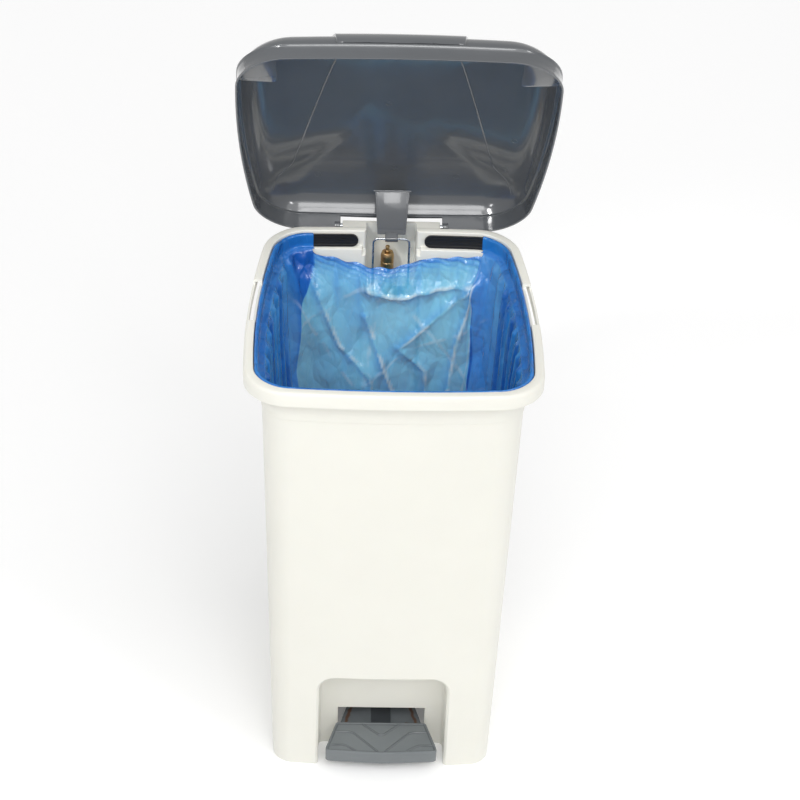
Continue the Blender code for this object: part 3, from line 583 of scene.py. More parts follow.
def make_body():
    """The one-piece bin, cut for the pedal, the rod, the lever, the pins and the fingers."""
    rings = [plan_ring(side, end, z) for side, end, z in soften(body_section())]
    body = new_object(loft_mesh("body_shell", rings), WHITE)
    back = BLOCK_BACK - 0.0003
    spine_side = [(0.1690, 0.190), (0.1705, 0.190), (back, 0.540), (back, 0.6900), (0.1880, 0.6900),
                  (0.1880, 0.6722), (0.1760, 0.666)]
    spine = prism_mesh("spine", spine_side, -CHANNEL_HALF - 0.006, CHANNEL_HALF + 0.006)
    block = new_object(box_mesh("block", (-BLOCK_HALF, 0.1871, 0.6622), (BLOCK_HALF, BLOCK_BACK, BLOCK_TOP)))
    bevel(block, 0.0014)
    top = FLOOR_TOP - WALL + 0.0010
    inside = RECESS_BACK + 0.0030
    outer = RECESS_HALF + 0.0062
    levels = ((-0.1622, 0.0), (-0.1652, top))
    housing = loft_mesh("housing", [
        [(x, y, z) for x, y in box_outline((-outer, front), (outer, inside))] for front, z in levels])
    combine(body, "UNION", [new_object(spine), block, new_object(housing)])
    lever_slot = box_mesh("lever_slot", (-0.0632, -0.130, -0.010), (0.0632, -0.108, 0.070))
    floor_slot = box_mesh("floor_slot", (-0.034, 0.1440, 0.165), (0.034, 0.1665, 0.190))
    cutters = [recess_cutter(), channel_cutter(), new_object(lever_slot), new_object(floor_slot)]
    notch_side = soften([(-0.034, 0.7120, 0.0), (-0.030, 0.6925, 0.0020), (0.062, 0.6925, 0.0020),
                         (0.066, 0.7120, 0.0)])
    for side in (-1, 1):
        bore_ends = [(side * x, HINGE_Y, HINGE_Z) for x in (0.057, 0.075)]
        cutters.append(new_object(tube_mesh("pin_bore", bore_ends, 0.0038, 24)))
        low, high = sorted((side * 0.165, side * 0.215))
        cutters.append(new_object(prism_mesh("finger_notch", notch_side, low, high)))
    combine(body, "DIFFERENCE", cutters)
    smooth(body, 30)
    return finish_piece(body, "body", "white_plastic", "body")


# Lid ------------------------------------------------------------------------------------------------------

LID_INNER = [(0.1500, 0.0747, 0.0), (0.1003, 0.0711, 0.030), (0.0655, 0.0652, 0.016),
             (0.0430, 0.0583, 0.010), (0.0270, 0.0508, 0.008), (0.0170, 0.0425, 0.006),
             (0.0112, 0.0345, 0.004), (0.0078, 0.0262, 0.003), (0.0070, 0.0240, 0.0009),
             (0.0042, 0.0232, 0.0008), (0.0034, 0.0080, 0.002)]
LID_LIP = [(0.0030, 0.0, 0.0009), (0.0, 0.0, 0.0009)]
LID_OUTER = [(0.0022, 0.0090, 0.004), (0.0022, 0.0205, 0.0020), (0.0008, 0.0225, 0.0008),
             (0.0008, 0.0246, 0.0007), (0.0064, 0.0250, 0.0012), (0.0088, 0.0350, 0.004),
             (0.0150, 0.0450, 0.006), (0.0260, 0.0540, 0.008), (0.0420, 0.0615, 0.010),
             (0.0650, 0.0682, 0.016), (0.1000, 0.0741, 0.030), (0.1500, 0.0777, 0.0)]


def lid_ring(from_edge, height):
    inset = from_edge - LID_OVERHANG
    return [(x, y - HINGE_Y, z) for x, y, z in plan_ring(inset, inset + 0.0015, height - LIP_DROP)]


def lid_panel_half(y):
    """Half the width of the raised panel on the dome: it fans out towards the hinge."""
    share = min(max((y - LID_FRONT) / (LID_REAR - 0.060 - LID_FRONT), 0.0), 1.0)
    return 0.0825 + 0.0640 * share


def surface_of(target):
    return BVHTree.FromPolygons([vertex.co for vertex in target.data.vertices],
                                [face.vertices for face in target.data.polygons])


def make_lid_panel(dome):
    """The raised panel: a strip that follows the dome a few millimetres above it."""
    rise = 0.0036
    rows, columns = 110, 28
    steps = [(0.0, -0.0012), (0.0, 0.45), (0.0006, 0.80), (0.0018, 1.0)]
    points, faces = [], []
    first, last = LID_REAR - 0.0065, LID_FRONT + 0.0052
    for row in range(rows + 1):
        y = first + (last - first) * (1 - math.cos(math.pi * row / rows)) / 2
        half = lid_panel_half(y)
        offsets = [(-half + inward, lift) for inward, lift in steps]
        offsets += [((-1 + 2 * step / columns) * (half - 0.003), 1.0) for step in range(columns + 1)]
        offsets += [(half - inward, lift) for inward, lift in reversed(steps)]
        ends = 0.5 if row in (0, rows) else 1.0
        for x, lift in offsets:
            hit = dome.ray_cast(Vector((x, y, 0.3)), Vector((0, 0, -1)))
            raised = rise * lift * ends if lift > 0 else lift
            normal = hit[1] if hit[1].z > 0 else -hit[1]
            points.append(hit[0] + normal * raised)
    width = len(points) // (rows + 1)
    for row in range(rows):
        for column in range(width - 1):
            here = row * width + column
            faces.append((here, here + 1, here + 1 + width, here + width))
    for row, turn in ((0, 1), (rows, -1)):
        line = [points[row * width + column] for column in range(width)]
        start = len(points)
        points += [point + Vector((0, 0.0006 * turn, -0.0050)) for point in line]
        for column in range(width - 1):
            here = row * width + column
            faces.append((here, here + 1, start + column + 1, start + column))
    return new_object(mesh_from("lid_panel", points, faces), GREY, LID_FRAME)


def make_lid_ribs(dome):
    """Two fine lines inside the dome, which fan out and turn to the sides, and six ejector pins' rings."""
    half_line = [(0.0700, -0.3700, 0.0), (0.0872, -0.3024, 0.0), (0.1405, -0.0740, 0.012),
                 (0.1600, -0.0600, 0.010), (0.1680, -0.0400, 0.0)]
    line = soften(half_line, 6)
    pins = ((-0.105, -0.052), (0.090, -0.052), (0.002, -0.066), (-0.010, -0.210), (0.165, -0.150),
            (0.158, -0.080))
    circle = [(x, y, 0) for x, y in arc((0, 0), 0.0042, 0, 360, 24)]
    made = []
    for side in (-1, 1):
        path = []
        for start, end in zip(line, line[1:]):
            for step in range(12):
                x, y = start + (end - start) * (step / 12)
                hit = dome.ray_cast(Vector((side * x, y, -0.1)), Vector((0, 0, 1)))
                path.append(hit[0] + Vector((0, 0, 0.0002)))
        made.append(new_object(tube_mesh("rib", path, 0.0012, 8), GREY, LID_FRAME))
    for x, y in pins:
        hit = dome.ray_cast(Vector((x, y, -0.1)), Vector((0, 0, 1)))
        turn = hit[1].to_track_quat("Z", "Y").to_matrix().to_4x4()
        ring = tube_mesh("ejector_ring", circle, 0.00035, 6)
        made.append(new_object(ring, GREY, LID_FRAME @ Matrix.Translation(hit[0]) @ turn))
    return made


def make_gusset(side):
    """A small plate across a front corner of the lid, just behind the lip and cut to the inner side."""
    inner_x, inner_y = 0.1600, LID_FRONT + 0.0870
    rim = [(x, y) for x, y, z in lid_ring(0.0028, 0.0) if side * x > inner_x and y < inner_y]
    rim.sort(key=lambda point: point[1])
    corner = soften([(*rim[-1], 0.0), (side * inner_x, inner_y, 0.0080), (*rim[0], 0.0)])
    plate = prism_mesh("gusset", rim + [(x, y) for x, y in corner[1:-1]], 0.0118, 0.0136, "XY")
    return bevel(new_object(plate, GREY, LID_FRAME), 0.0005, 2)


def ear_outline():
    """A hinge ear's side view: a disc round the axis with a web up to the lid's rear skirt."""
    web = [(-0.0034, 0.0060), (-0.0034, 0.0150), (-0.0010, 0.0150)]
    return web + arc((0, 0), EAR_RADIUS, 70, -180, 24)


def make_lid():
    """The dome lid with its stepped skirt, raised panel, ribs, gussets and hinge ears."""
    profile = soften([*LID_INNER, *LID_LIP, *LID_OUTER])
    lid = new_object(loft_mesh("lid_dome", [lid_ring(*point) for point in profile]), GREY, LID_FRAME)
    dome = surface_of(lid)
    extras = [make_lid_panel(dome), *make_lid_ribs(dome), make_gusset(-1), make_gusset(1)]
    ears = []
    for side in (-1, 1):
        low, high = sorted((side * (NOTCH_HALF + 0.0003), side * EAR_OUTER))
        ear = new_object(prism_mesh("ear", ear_outline()[::-1], low, high), None, LID_FRAME)
        ears.append(bevel(ear, 0.0006, 2))
    combine(lid, "UNION", ears)
    inner_half = NOTCH_HALF + 0.0008
    cuts = [box_mesh("lid_notch", (-NOTCH_HALF, -0.0120, -0.0200), (NOTCH_HALF, 0.0300, 0.0100)),
            box_mesh("inner_notch", (-inner_half, -0.0066, -0.0200), (inner_half, -0.0026, 0.0155))]
    for side in (-1, 1):
        hole_ends = [(side * 0.060, 0, 0), (side * (EAR_OUTER + 0.001), 0, 0)]
        cuts.append(tube_mesh("ear_hole", hole_ends, 0.0039, 24))
    cutters = [new_object(cut, None, LID_FRAME) for cut in cuts]
    combine(lid, "DIFFERENCE", cutters)
    join(lid, *extras)
    smooth(lid, 34)
    place_in_mesh(lid)
    return finish_piece(lid, "lid", "grey_plastic", "lid_shell")


def tapered(half_root, half_tip, start, end):
    """A strip's outline along Y that is narrower at its far end."""
    return [(-half_root, start), (half_root, start), (half_tip, end), (-half_tip, end)]


def make_arm():
    """The lid's arm: a bevelled plate with two webs behind it and a hook round the rod's top bar."""
    root, tip = Vector((0, -0.0495, 0.0292)), Vector((0, -HOOK_FORWARD, -0.0205))
    along = (tip - root).normalized()
    facing = Vector((1, 0, 0)).cross(along)
    length = (tip - root).length
    turn = Matrix((
        (1, along.x, facing.x, root.x),
        (0, along.y, facing.y, root.y),
        (0, along.z, facing.z, root.z),
        (0, 0, 0, 1)))
    plate = prism_mesh("arm_plate", tapered(0.0245, 0.0198, 0, length), -0.0020, 0.0020, "XY")
    arm = bevel(new_object(plate, GREY, LID_FRAME @ turn), 0.0008)
    face = prism_mesh("arm_face", tapered(0.0215, 0.0176, 0.003, length - 0.0075), 0.0015, 0.0026, "XY")
    upward = 1 if (LID_FRAME.to_3x3() @ facing).z > 0 else -1
    raised = new_object(face, GREY, LID_FRAME @ turn @ Matrix.Diagonal((1, 1, upward, 1)))
    parts = [bevel(raised, 0.0005, 2)]
    web_side = [(-0.0060, 0.0150), (-0.0075, 0.0215), (-0.0130, 0.0290), (-0.0200, 0.0375),
                (-0.0240, 0.0420), (-0.0330, 0.0390), (-0.0490, 0.0290), (-0.0245, -0.0030)]
    for side in (-1, 1):
        low, high = sorted((side * 0.0170, side * 0.0205))
        parts.append(bevel(new_object(prism_mesh("web", web_side, low, high), GREY, LID_FRAME), 0.0008))
    collar_outline = box_outline((-0.0268, -0.0002), (0.0268, 0.0024))
    collar = prism_mesh("arm_collar", collar_outline, -0.0026, 0.0024, "XY")
    parts.append(bevel(new_object(collar, GREY, LID_FRAME @ turn), 0.0008))
    bar = (-HOOK_FORWARD, -HOOK_DROP)
    outer = WIRE_RADIUS + 0.0028
    mouth = bar[1] + 0.0085
    hook = [(bar[0] - outer, mouth), *arc(bar, outer, 180, 360, 16), (bar[0] + outer, mouth)]
    parts.append(bevel(new_object(prism_mesh("hook", hook, -0.0090, 0.0090), GREY, LID_FRAME), 0.0008))
    join(arm, *parts)
    smooth(arm)
    arm.name = "lid_arm_piece"
    place_in_mesh(arm)
    return finish_piece(arm, "lid", "grey_plastic", "lid_arm")


# Ring and bag ---------------------------------------------------------------------------------------------

def make_ring():
    """The C-shaped band that holds the bag's mouth, with fine ribs along its inner face."""
    level = plan_ring(0.0160, 0.0160, 0.0)
    outer = plan_ring(0.0145, 0.0145, 0.0)
    inner = plan_ring(0.0175, 0.0175, 0.0)
    half = (RING_HIGH - RING_LOW) / 2
    middle = (RING_HIGH + RING_LOW) / 2
    ribs, rib_depth = 4, 0.0006
    gap = RING_GAP_HALF + half
    in_gap = [y > 0 and abs(x) < gap for x, y, z in level]
    count = len(level)
    first = next(index for index in range(count) if in_gap[index - 1] and not in_gap[index])
    path = [(first + step) % count for step in range(in_gap.count(False))]

    def section(outside, inside, share):
        ring = [(*outside[:2], middle + half * way * share) for way in (-1, 1)]
        for step in range(8 * ribs + 1):
            up = 1 - 2 * step / (8 * ribs)
            groove = rib_depth * (0.5 - 0.5 * math.cos(2 * math.pi * step / 8)) * share
            ring.append((inside[0] + (outside[0] - inside[0]) / 0.003 * groove,
                         inside[1] + (outside[1] - inside[1]) / 0.003 * groove, middle + half * up * share))
        return ring

    def round_end(side):
        sections = []
        for degrees in range(6, 91, 7):
            turn = math.radians(degrees)
            x = side * (RING_GAP_HALF + half * (1 - math.cos(turn)))
            bow = REAR_BOW * (x / HALF_WIDTH) ** 2
            outside, inside = ((x, RIM_DEPTH / 2 - inset - bow) for inset in (0.0145, 0.0175))
            sections.append(section(outside, inside, math.sin(turn)))
        return sections

    along = [section(outer[index], inner[index], 1.0) for index in path]
    left_first = outer[path[0]][0] < 0
    start = round_end(-1 if left_first else 1)
    finish = round_end(1 if left_first else -1)
    ring = new_object(loft_mesh("bag_ring_piece", start + along + finish[::-1]), BLACK)
    smooth(ring, 40)
    return finish_piece(ring, "body", "black_plastic", "bag_ring")


BAG_START = 0.6745
BAG_EDGE = soften([(-0.1080, 0.6725, 0.0), (-0.0200, 0.6520, 0.014), (0.0110, 0.6545, 0.010),
                   (0.0480, 0.6670, 0.014), (0.1280, 0.6725, 0.0)])
REAR_FOLDS = [
    [(0.118, 0.628), (0.016, 0.525), (0.055, 0.489), (0.057, 0.452)],
    [(0.129, 0.637), (0.101, 0.539), (0.088, 0.440)],
    [(-0.035, 0.578), (0.007, 0.453), (0.012, 0.380)],
    [(-0.115, 0.637), (-0.074, 0.530), (-0.027, 0.480), (-0.020, 0.400)],
    [(-0.033, 0.623), (0.016, 0.609), (0.128, 0.635)]]
BROAD_FOLDS = [(0.15, 0.155, 0.37, 0.0070), (1.05, 0.125, 1.91, 0.0060), (-0.75, 0.140, 2.73, 0.0060),
               (0.55, 0.060, 3.31, 0.0020), (-0.35, 0.047, 4.77, 0.0016), (1.45, 0.085, 5.13, 0.0018)]


def smoothstep(value, low, high):
    share = min(max((value - low) / (high - low), 0.0), 1.0)
    return share * share * (3 - 2 * share)


def nearest(point, line):
    """The distance from a point to a line of points, less than zero on its right."""
    best = 1.0
    for start, end in zip(line, line[1:]):
        start, end = Vector(start), Vector(end)
        run = end - start
        to_point = point - start
        share = min(max(to_point.dot(run) / run.length_squared, 0.0), 1.0)
        distance = (to_point - run * share).length
        if distance < abs(best):
            best = math.copysign(distance, run.cross(to_point))
    return best


def bag_edge(x, y):
    """The height of the bag's edge behind the rim, between the ring's two bare ends; None elsewhere."""
    if y < 0 or not BAG_EDGE[0].x < x < BAG_EDGE[-1].x:
        return None
    for start, end in zip(BAG_EDGE, BAG_EDGE[1:]):
        if x <= end.x:
            return start.y + (end.y - start.y) * (x - start.x) / (end.x - start.x)
    return None


def triangle(around, z, heading, wave, shift):
    """Straight pleats across a heading on the unrolled wall, slightly bent, from 0 to 1."""
    bend = noise.noise(Vector((around * 6.0, z * 6.0, shift))) * 0.025
    distance = around * math.cos(heading) + z * math.sin(heading) + bend
    share = (distance / wave + shift) % 1.0
    return 1 - abs(2 * share - 1)


def film(x, y, z, around):
    """How far the film stands off the wall; from 0 to 1 how deep its colour is, where the film lies double
    and where shade is painted in; and how sharply creased it is, which the material turns into a painted
    white highlight.
    """
    depth = BAG_START - z
    slack = smoothstep(depth, 0.0, 0.060)
    beside = smoothstep(abs(x), 0.136, 0.150)
    stand_off = slack * (1 - beside) * sum(size * triangle(around, z, heading, wave, shift)
                                           for heading, wave, shift, size in BROAD_FOLDS)
    stand_off += slack * max(0.006 * (0.5 + noise.noise(Vector((around * 3.0, z * 4.0, 1.3)))), 0.0)
    bend = noise.noise(Vector((around * 5.0, z * 2.5, 7.7)))
    pleat = abs(math.sin(around * math.pi / 0.031 + 1.3 * bend))
    hanging = smoothstep(depth, 0.0, 0.010) * (1 - smoothstep(depth, 0.030, 0.160) * (1 - beside))
    stand_off += (0.0036 + 0.0024 * beside) * pleat ** 2 * hanging
    stripe = smoothstep(noise.noise(Vector((around * 38.0 + 0.5 * bend, z * 1.2, 2.2))), -0.10, 0.10)
    # Deeper colour on the side walls: partly film lying double, partly painted shade of the shaded side
    # walls.
    inner = 0.106 + 0.030 * smoothstep(depth, 0.010, 0.095) if x < 0 else 0.124
    deep = smoothstep(abs(x), inner, inner + 0.003) * (0.50 + 0.45 * stripe)
    # Darker in the pleat valleys below the ring: gathered film, with painted shade.
    deep = max(deep, 0.30 * hanging * (1 - pleat) * (1 - beside))
    # Painted highlight: a white line along the crest of each broad fold.
    crest_highlight = 0.0
    for heading, wave, shift, _ in BROAD_FOLDS[:3]:
        sharp = 1 - smoothstep((1 - triangle(around, z, heading, wave, shift)) * wave / 2, 0.0008, 0.0042)
        crest_highlight = max(crest_highlight, 0.34 * sharp * slack * (1 - beside))
    if y > 0.05 and abs(x) < 0.140:
        for line in REAR_FOLDS:
            distance = nearest(Vector((x, z)), line)
            stand_off += 0.0085 * slack * math.exp(-abs(distance) / 0.009)
            # Painted highlight along each rear fold's crest.
            crest_highlight = max(crest_highlight, 0.85 * slack * (1 - smoothstep(abs(distance - 0.0010), 0.0006, 0.0036)))
            # Painted shade on the lower side of each rear fold.
            under = 1 - smoothstep(distance, -0.0030, 0.0020)
            deep = max(deep, 0.42 * under * math.exp(-abs(distance) / 0.014))
        edge = bag_edge(x, y)
        if edge is not None:
            below = max(edge - z, 0.0)
            rope = 0.5 + 0.5 * math.sin(below / 0.0036 * 2 * math.pi + 9 * x / 0.05)
            # Deeper along the hem behind the rim: film gathered double there, with painted shade.
            deep = max(deep, (0.50 + 0.40 * rope) * math.exp(-below / 0.015))
            stand_off += 0.0030 * rope * math.exp(-below / 0.012)
    return stand_off, deep, crest_highlight


def make_bag():
    """The bag: one sheet of thin film, folded over the ring and hanging inside the wall down to the floor."""
    corner_steps, edge_steps = 30, 76
    fine_step, coarse_step = 0.0026, 0.0085
    edge_reach = 0.150
    on_wall_gap, inside_gap, apart = 0.0022, 0.0222, 0.020

    def ring(side, end, z, rear=None):
        return plan_ring(side, end, z, rear, corner_steps, edge_steps)

    rows = [(ring(0.0133, 0.0133, z), 0.55) for z in (0.6835, 0.6865, 0.6900, 0.6940)]
    over_ring = ((0.0137, 0.6972), (0.0160, 0.6984), (0.0184, 0.6972), (0.0186, 0.6945), (0.0186, 0.6910),
                 (0.0186, 0.6875), (0.0186, 0.6840), (0.0187, 0.6805), (0.0190, 0.6780))
    for inset, z in over_ring:
        rows.append((ring(inset, inset, z), 0.70))
    rows += [(ring(0.0215, 0.0205, 0.6768), 0.70), (ring(0.0262, 0.0232, 0.6766), 0.70)]
    hung_from = len(rows)
    top = rows[0][0]
    count = len(top)
    reach = [0.0]
    for index in range(1, count):
        reach.append(reach[-1] + math.dist(top[index][:2], top[index - 1][:2]))
    whole = reach[-1] + math.dist(top[0][:2], top[-1][:2])
    heights = [BAG_START - 0.0005 - fine_step * step for step in range(105)]
    lower = [heights[-1] - coarse_step * step for step in range(1, 25)]
    heights += [z for z in lower if z > FLOOR_TOP + 0.022]
    layers_and_shade = [deep for line, deep in rows for _ in line]
    crest_highlights = [0.0] * len(layers_and_shade)
    points = [Vector(point) for line, _ in rows for point in line]
    for z in heights:
        side, end = wall_inset(z)
        lean = 0.0240 * (1 - (z - FLOOR_TOP) / (0.670 - FLOOR_TOP)) + 0.0020
        on_wall, inside = (ring(side + WALL + gap, end + WALL + gap, z, end + WALL + gap + lean)
                           for gap in (on_wall_gap, inside_gap))
        settled = 1 - 0.7 * smoothstep(-z, -(FLOOR_TOP + 0.080), -(FLOOR_TOP + 0.015))
        for index in range(count):
            base = Vector(on_wall[index])
            edge = bag_edge(base.x, base.y)
            if edge is not None and z > BAG_START - edge_reach:
                base.z = edge + (BAG_START - edge_reach - edge) * (BAG_START - z) / edge_reach
            seam = smoothstep(whole - reach[index], 0.0, 0.050)
            stand_off, deep, crest_highlight = film(base.x, base.y, base.z, reach[index])
            if seam < 1:
                other = film(base.x, base.y, base.z, reach[index] - whole)[0]
                stand_off = stand_off * seam + other * (1 - seam)
            inward = Vector(inside[index]) - Vector(on_wall[index])
            points.append(base + inward * (stand_off * settled / apart))
            layers_and_shade.append(deep)
            crest_highlights.append(crest_highlight)
    lowest = points[-count:]
    for share in (0.985, 0.95, 0.88, 0.76, 0.60, 0.42, 0.24, 0.10):
        z = FLOOR_TOP + 0.004 + 0.016 * max(share - 0.80, 0.0) / 0.2
        for x, y, _ in lowest:
            lift = 0.004 * (noise.noise(Vector((x * 22 * share, y * 22 * share, 4.4))) + 0.5)
            points.append(Vector((x * share, y * share, z + max(lift, 0.0) * (1 - abs(2 * share - 1)))))
            layers_and_shade.append(0.2)
            crest_highlights.append(0.0)
    faces = []
    for row in range(len(points) // count - 1):
        for index in range(count):
            following = (index + 1) % count
            corners = [row * count + index, row * count + following]
            if row <= hung_from - 1 and any(bag_edge(points[c].x, points[c].y) is not None for c in corners):
                continue
            faces.append((*corners, corners[1] + count, corners[0] + count))
    faces.append(tuple(range(len(points) - count, len(points))))
    mesh = bpy.data.meshes.new("bag_film_piece")
    mesh.from_pydata([tuple(point) for point in points], [], faces)
    # Per point: how deep the film's colour is, from layered film and painted shade, and where the painted
    # crest highlight runs.
    mesh.attributes.new("layers_and_shade", "FLOAT", "POINT").data.foreach_set("value", layers_and_shade)
    mesh.attributes.new("crest_highlight", "FLOAT", "POINT").data.foreach_set("value", crest_highlights)
    work = bmesh.new()
    work.from_mesh(mesh)
    bmesh.ops.delete(work, geom=[vertex for vertex in work.verts if not vertex.link_faces], context="VERTS")
    work.to_mesh(mesh)
    work.free()
    bag = new_object(mesh, FILM)
    bag.data.shade_smooth()
    finish_piece(bag, "body", "bag_film", "bag")
    return bag


# Rod, damper and lever ------------------------------------------------------------------------------------

def make_push_rod():
    """The push rod: one bent wire whose ends turn inward through the lever's cheeks."""
    top = LID_FRAME @ Vector((0, -HOOK_FORWARD, -HOOK_DROP))
    bottom = LEVER_FRAME @ Vector((0, 0.172, -0.00125))
    length = (top - bottom).length
    down = (bottom - top).normalized()
    side = Vector((1, 0, 0)).cross(down)
    place = Matrix((
        (1, side.x, -down.x, top.x),
        (0, side.y, -down.y, top.y),
        (0, side.z, -down.z, top.z),
        (0, 0, 0, 1)))
    bend = 0.0075
    half = [(0.0120, -length), (ROD_HALF_WIDTH - bend, -length)]
    half += arc((ROD_HALF_WIDTH - bend, -length + bend), bend, -78, 0, 7)
    half += [(ROD_HALF_WIDTH, -length * share) for share in (0.8, 0.6, 0.4, 0.2)]
    half += arc((ROD_HALF_WIDTH - bend, -bend), bend, 0, 90, 10)
    path = half + [(-x, z) for x, z in reversed(half)]
    rod = tube_mesh("push_rod_wire", [(x, 0.0, z) for x, z in path], WIRE_RADIUS - 0.00005, 16)
    wire = smooth(new_object(rod, ZINC, place))
    return finish_piece(wire, "push_rod", "zinc_steel", "push_rod")


def make_damper():
    """The brass soft-close damper: faceted barrel with a chamfered cap, stepped plunger and hexagon nut."""
    place = IN_ROW @ Matrix.Translation((DAMPER_X, DAMPER_Y, 0))

    def facets(turn, height):
        if height > 0.6400:
            return 1.0
        return 1.0 - 0.030 * abs(math.sin(turn * 8))

    barrel = soften([(0.0030, 0.5900, 0), (0.0050, 0.5900, 0.0003), (0.0050, 0.6043, 0), (0.0080, 0.6043, 0),
                     (0.0094, 0.6055, 0.0006), (0.0094, 0.6395, 0.0004), (0.0088, 0.6400, 0.0003),
                     (0.0088, 0.6412, 0.0003), (0.0095, 0.6418, 0.0004), (0.0095, 0.6500, 0.0010),
                     (0.0078, 0.6550, 0.0008), (0.0042, 0.6550, 0.0002), (0.0042, 0.6500, 0)])
    made = smooth(new_object(lathe_mesh("damper_barrel_piece", barrel, 96, facets), BRASS, place), 28)
    finish_piece(made, "body", "brass", "damper_barrel")
    plunger = soften([(0.0030, 0.6330, 0), (0.0033, 0.6560, 0.0002), (0.0035, 0.6565, 0.0002),
                      (0.0035, 0.6578, 0.0003), (0.0026, 0.6582, 0.0003), (0.0026, 0.6620, 0.0004),
                      (0.0033, 0.6630, 0.0004), (0.0030, 0.6648, 0.0006), (0.0012, 0.66545, 0.0004)])
    made = smooth(new_object(lathe_mesh("damper_plunger_piece", plunger), BRASS, place), 28)
    finish_piece(made, "plunger", "brass", "damper_plunger")
    hexagon = arc((0, 0), 0.0085, 0, 300, 5)
    nut_mesh = prism_mesh("damper_nut_piece", hexagon, 0.5927, 0.5997, "XY")
    nut = bevel(new_object(nut_mesh, BRASS, place), 0.0007)
    finish_piece(smooth(nut), "body", "brass", "damper_nut")


PAD_REAR, PAD_FRONT = -0.1050, -0.1615
PAD_TOP, PAD_LOW = 0.0225, -0.0040
PAD_BOW = 0.0035
PAD_CORNER = 0.0070


def pad_half(share):
    """Half the pad's width: it widens towards the foot."""
    return 0.0648 + 0.0158 * min(share / 0.88, 1.0)


def pad_outline():
    """The right half of the pad's outline, from the middle of its rear round to the middle of its front."""
    straight = PAD_FRONT + PAD_BOW
    half = [(0.0, PAD_REAR, 0.0), (pad_half(0.0), PAD_REAR, 0.0040),
            (pad_half(1.0) - 0.0003, straight + 0.0065, 0.0060),
            (pad_half(1.0) - 0.0006, straight + 0.0010, PAD_CORNER), (0.0, PAD_FRONT + 0.0004, 0.0)]
    return [(point.x, point.y) for point in soften(half, 8)]


def chevrons():
    """The pad's chevron lines, in (X, Y): two nested, and the cut ends of a third."""
    inner = [(0.0030, -0.1270), (0.0300, PAD_REAR - 0.0005)]
    outer = [(0.0030, -0.1590), (0.0400, -0.1240), (0.0465, -0.1218), (0.0740, -0.1214)]
    cut_end = [(0.0345, -0.1570), (0.0500, -0.1470), (0.0560, -0.1452), (0.0780, -0.1448)]
    nested = [[(-x, y) for x, y in reversed(half)] + half for half in (inner, outer)]
    return nested + [[(side * x, y) for x, y in cut_end] for side in (-1, 1)]


def make_pad():
    """The foot pad: a dished top in a thin raised rim, with raised chevron lines, and a deep front lip."""
    half_line = pad_outline()
    outline = half_line + [(-x, y) for x, y in reversed(half_line[1:-1])]
    border = [Vector(point) for point in outline] + [Vector(outline[0])]
    lines = chevrons()
    rows, columns = 110, 260
    grid = {}
    points, faces, shade = [], [], []

    def half_at(y):
        crossings = [0.0]
        for start, end in zip(half_line, half_line[1:]):
            if start[1] != end[1] and min(start[1], end[1]) <= y <= max(start[1], end[1]):
                crossings.append(start[0] + (end[0] - start[0]) * (y - start[1]) / (end[1] - start[1]))
        return max(crossings)

    lowest = half_line[-1][1]
    for row in range(rows + 1):
        share = 0.5 - 0.5 * math.cos(math.pi * row / rows)
        y = PAD_REAR + (lowest - PAD_REAR) * (0.02 * row / rows + 0.98 * share)
        y = min(max(y, lowest + 0.00005), PAD_REAR - 0.00005)
        half = half_at(y)
        for column in range(columns + 1):
            x = half * math.sin(math.pi / 2 * (-1 + 2 * column / columns)) * 0.35
            x += half * (-1 + 2 * column / columns) * 0.65
            inside = abs(nearest(Vector((x, y)), border))
            dish = 0.0016 * smoothstep(inside, 0.0024, 0.0032)
            to_line = min(abs(nearest(Vector((x, y)), line)) for line in lines)
            ridge = 1 - smoothstep(to_line, 0.0002, 0.0010)
            beside = math.exp(-((to_line - 0.0012) / 0.0006) ** 2) * smoothstep(inside, 0.0024, 0.0034)
            # Painted shade mask: high beside the chevron ridges and just inside the raised rim.
            shade.append(max(beside, math.exp(-((inside - 0.0036) / 0.0007) ** 2)))
            edge = 0.0010 * (1 - smoothstep(inside, 0.0, 0.0012))
            ridge *= 0.0012 * smoothstep(inside, 0.0020, 0.0034)
            grid[row, column] = len(points)
            points.append((x, y, PAD_TOP - dish + ridge - edge))
    for row in range(rows):
        for column in range(columns):
            around = ((0, 0), (0, 1), (1, 1), (1, 0))
            faces.append(tuple(grid[row + down, column + over] for down, over in around))
    loop = [grid[0, column] for column in range(columns + 1)]
    loop += [grid[row, columns] for row in range(1, rows + 1)]
    loop += [grid[rows, column] for column in range(columns - 1, -1, -1)]
    loop += [grid[row, 0] for row in range(rows - 1, 0, -1)]
    middle = Vector((0.0, (PAD_REAR + lowest) / 2))
    previous = loop
    full_lip = 0.0226
    for inward, down, lip in ((0.0000, 0.0022, 0.0022), (0.0000, 0.0110, 0.0200), (0.0006, 0.0122, 0.0218),
                              (0.0020, 0.0128, full_lip)):
        ring = []
        for index in loop:
            x, y, _ = points[index]
            front = smoothstep(-y, -(PAD_FRONT + 0.0150), -(PAD_FRONT + 0.0090))
            scale = 1 - inward / 0.030
            drop = (down + (lip - down) * front) * (PAD_TOP - PAD_LOW) / full_lip
            ring.append(len(points))
            points.append((x * scale, middle.y + (y - middle.y) * scale, PAD_TOP - drop))
        for index in range(len(ring)):
            following = (index + 1) % len(ring)
            faces.append((previous[index], previous[following], ring[following], ring[index]))
        previous = ring
    faces.append(tuple(previous))
    mesh = mesh_from("pedal_pad_piece", points, faces)
    shade += [0.0] * (len(points) - len(shade))
    # The painted shade per point, read by the pad's material.
    mesh.attributes.new("pad_painted_shade", "FLOAT", "POINT").data.foreach_set("value", shade)
    pad = smooth(new_object(mesh, PEDAL_GREY, LEVER_FRAME), 50)
    return finish_piece(pad, "pedal", "grey_plastic", "pedal_pad")


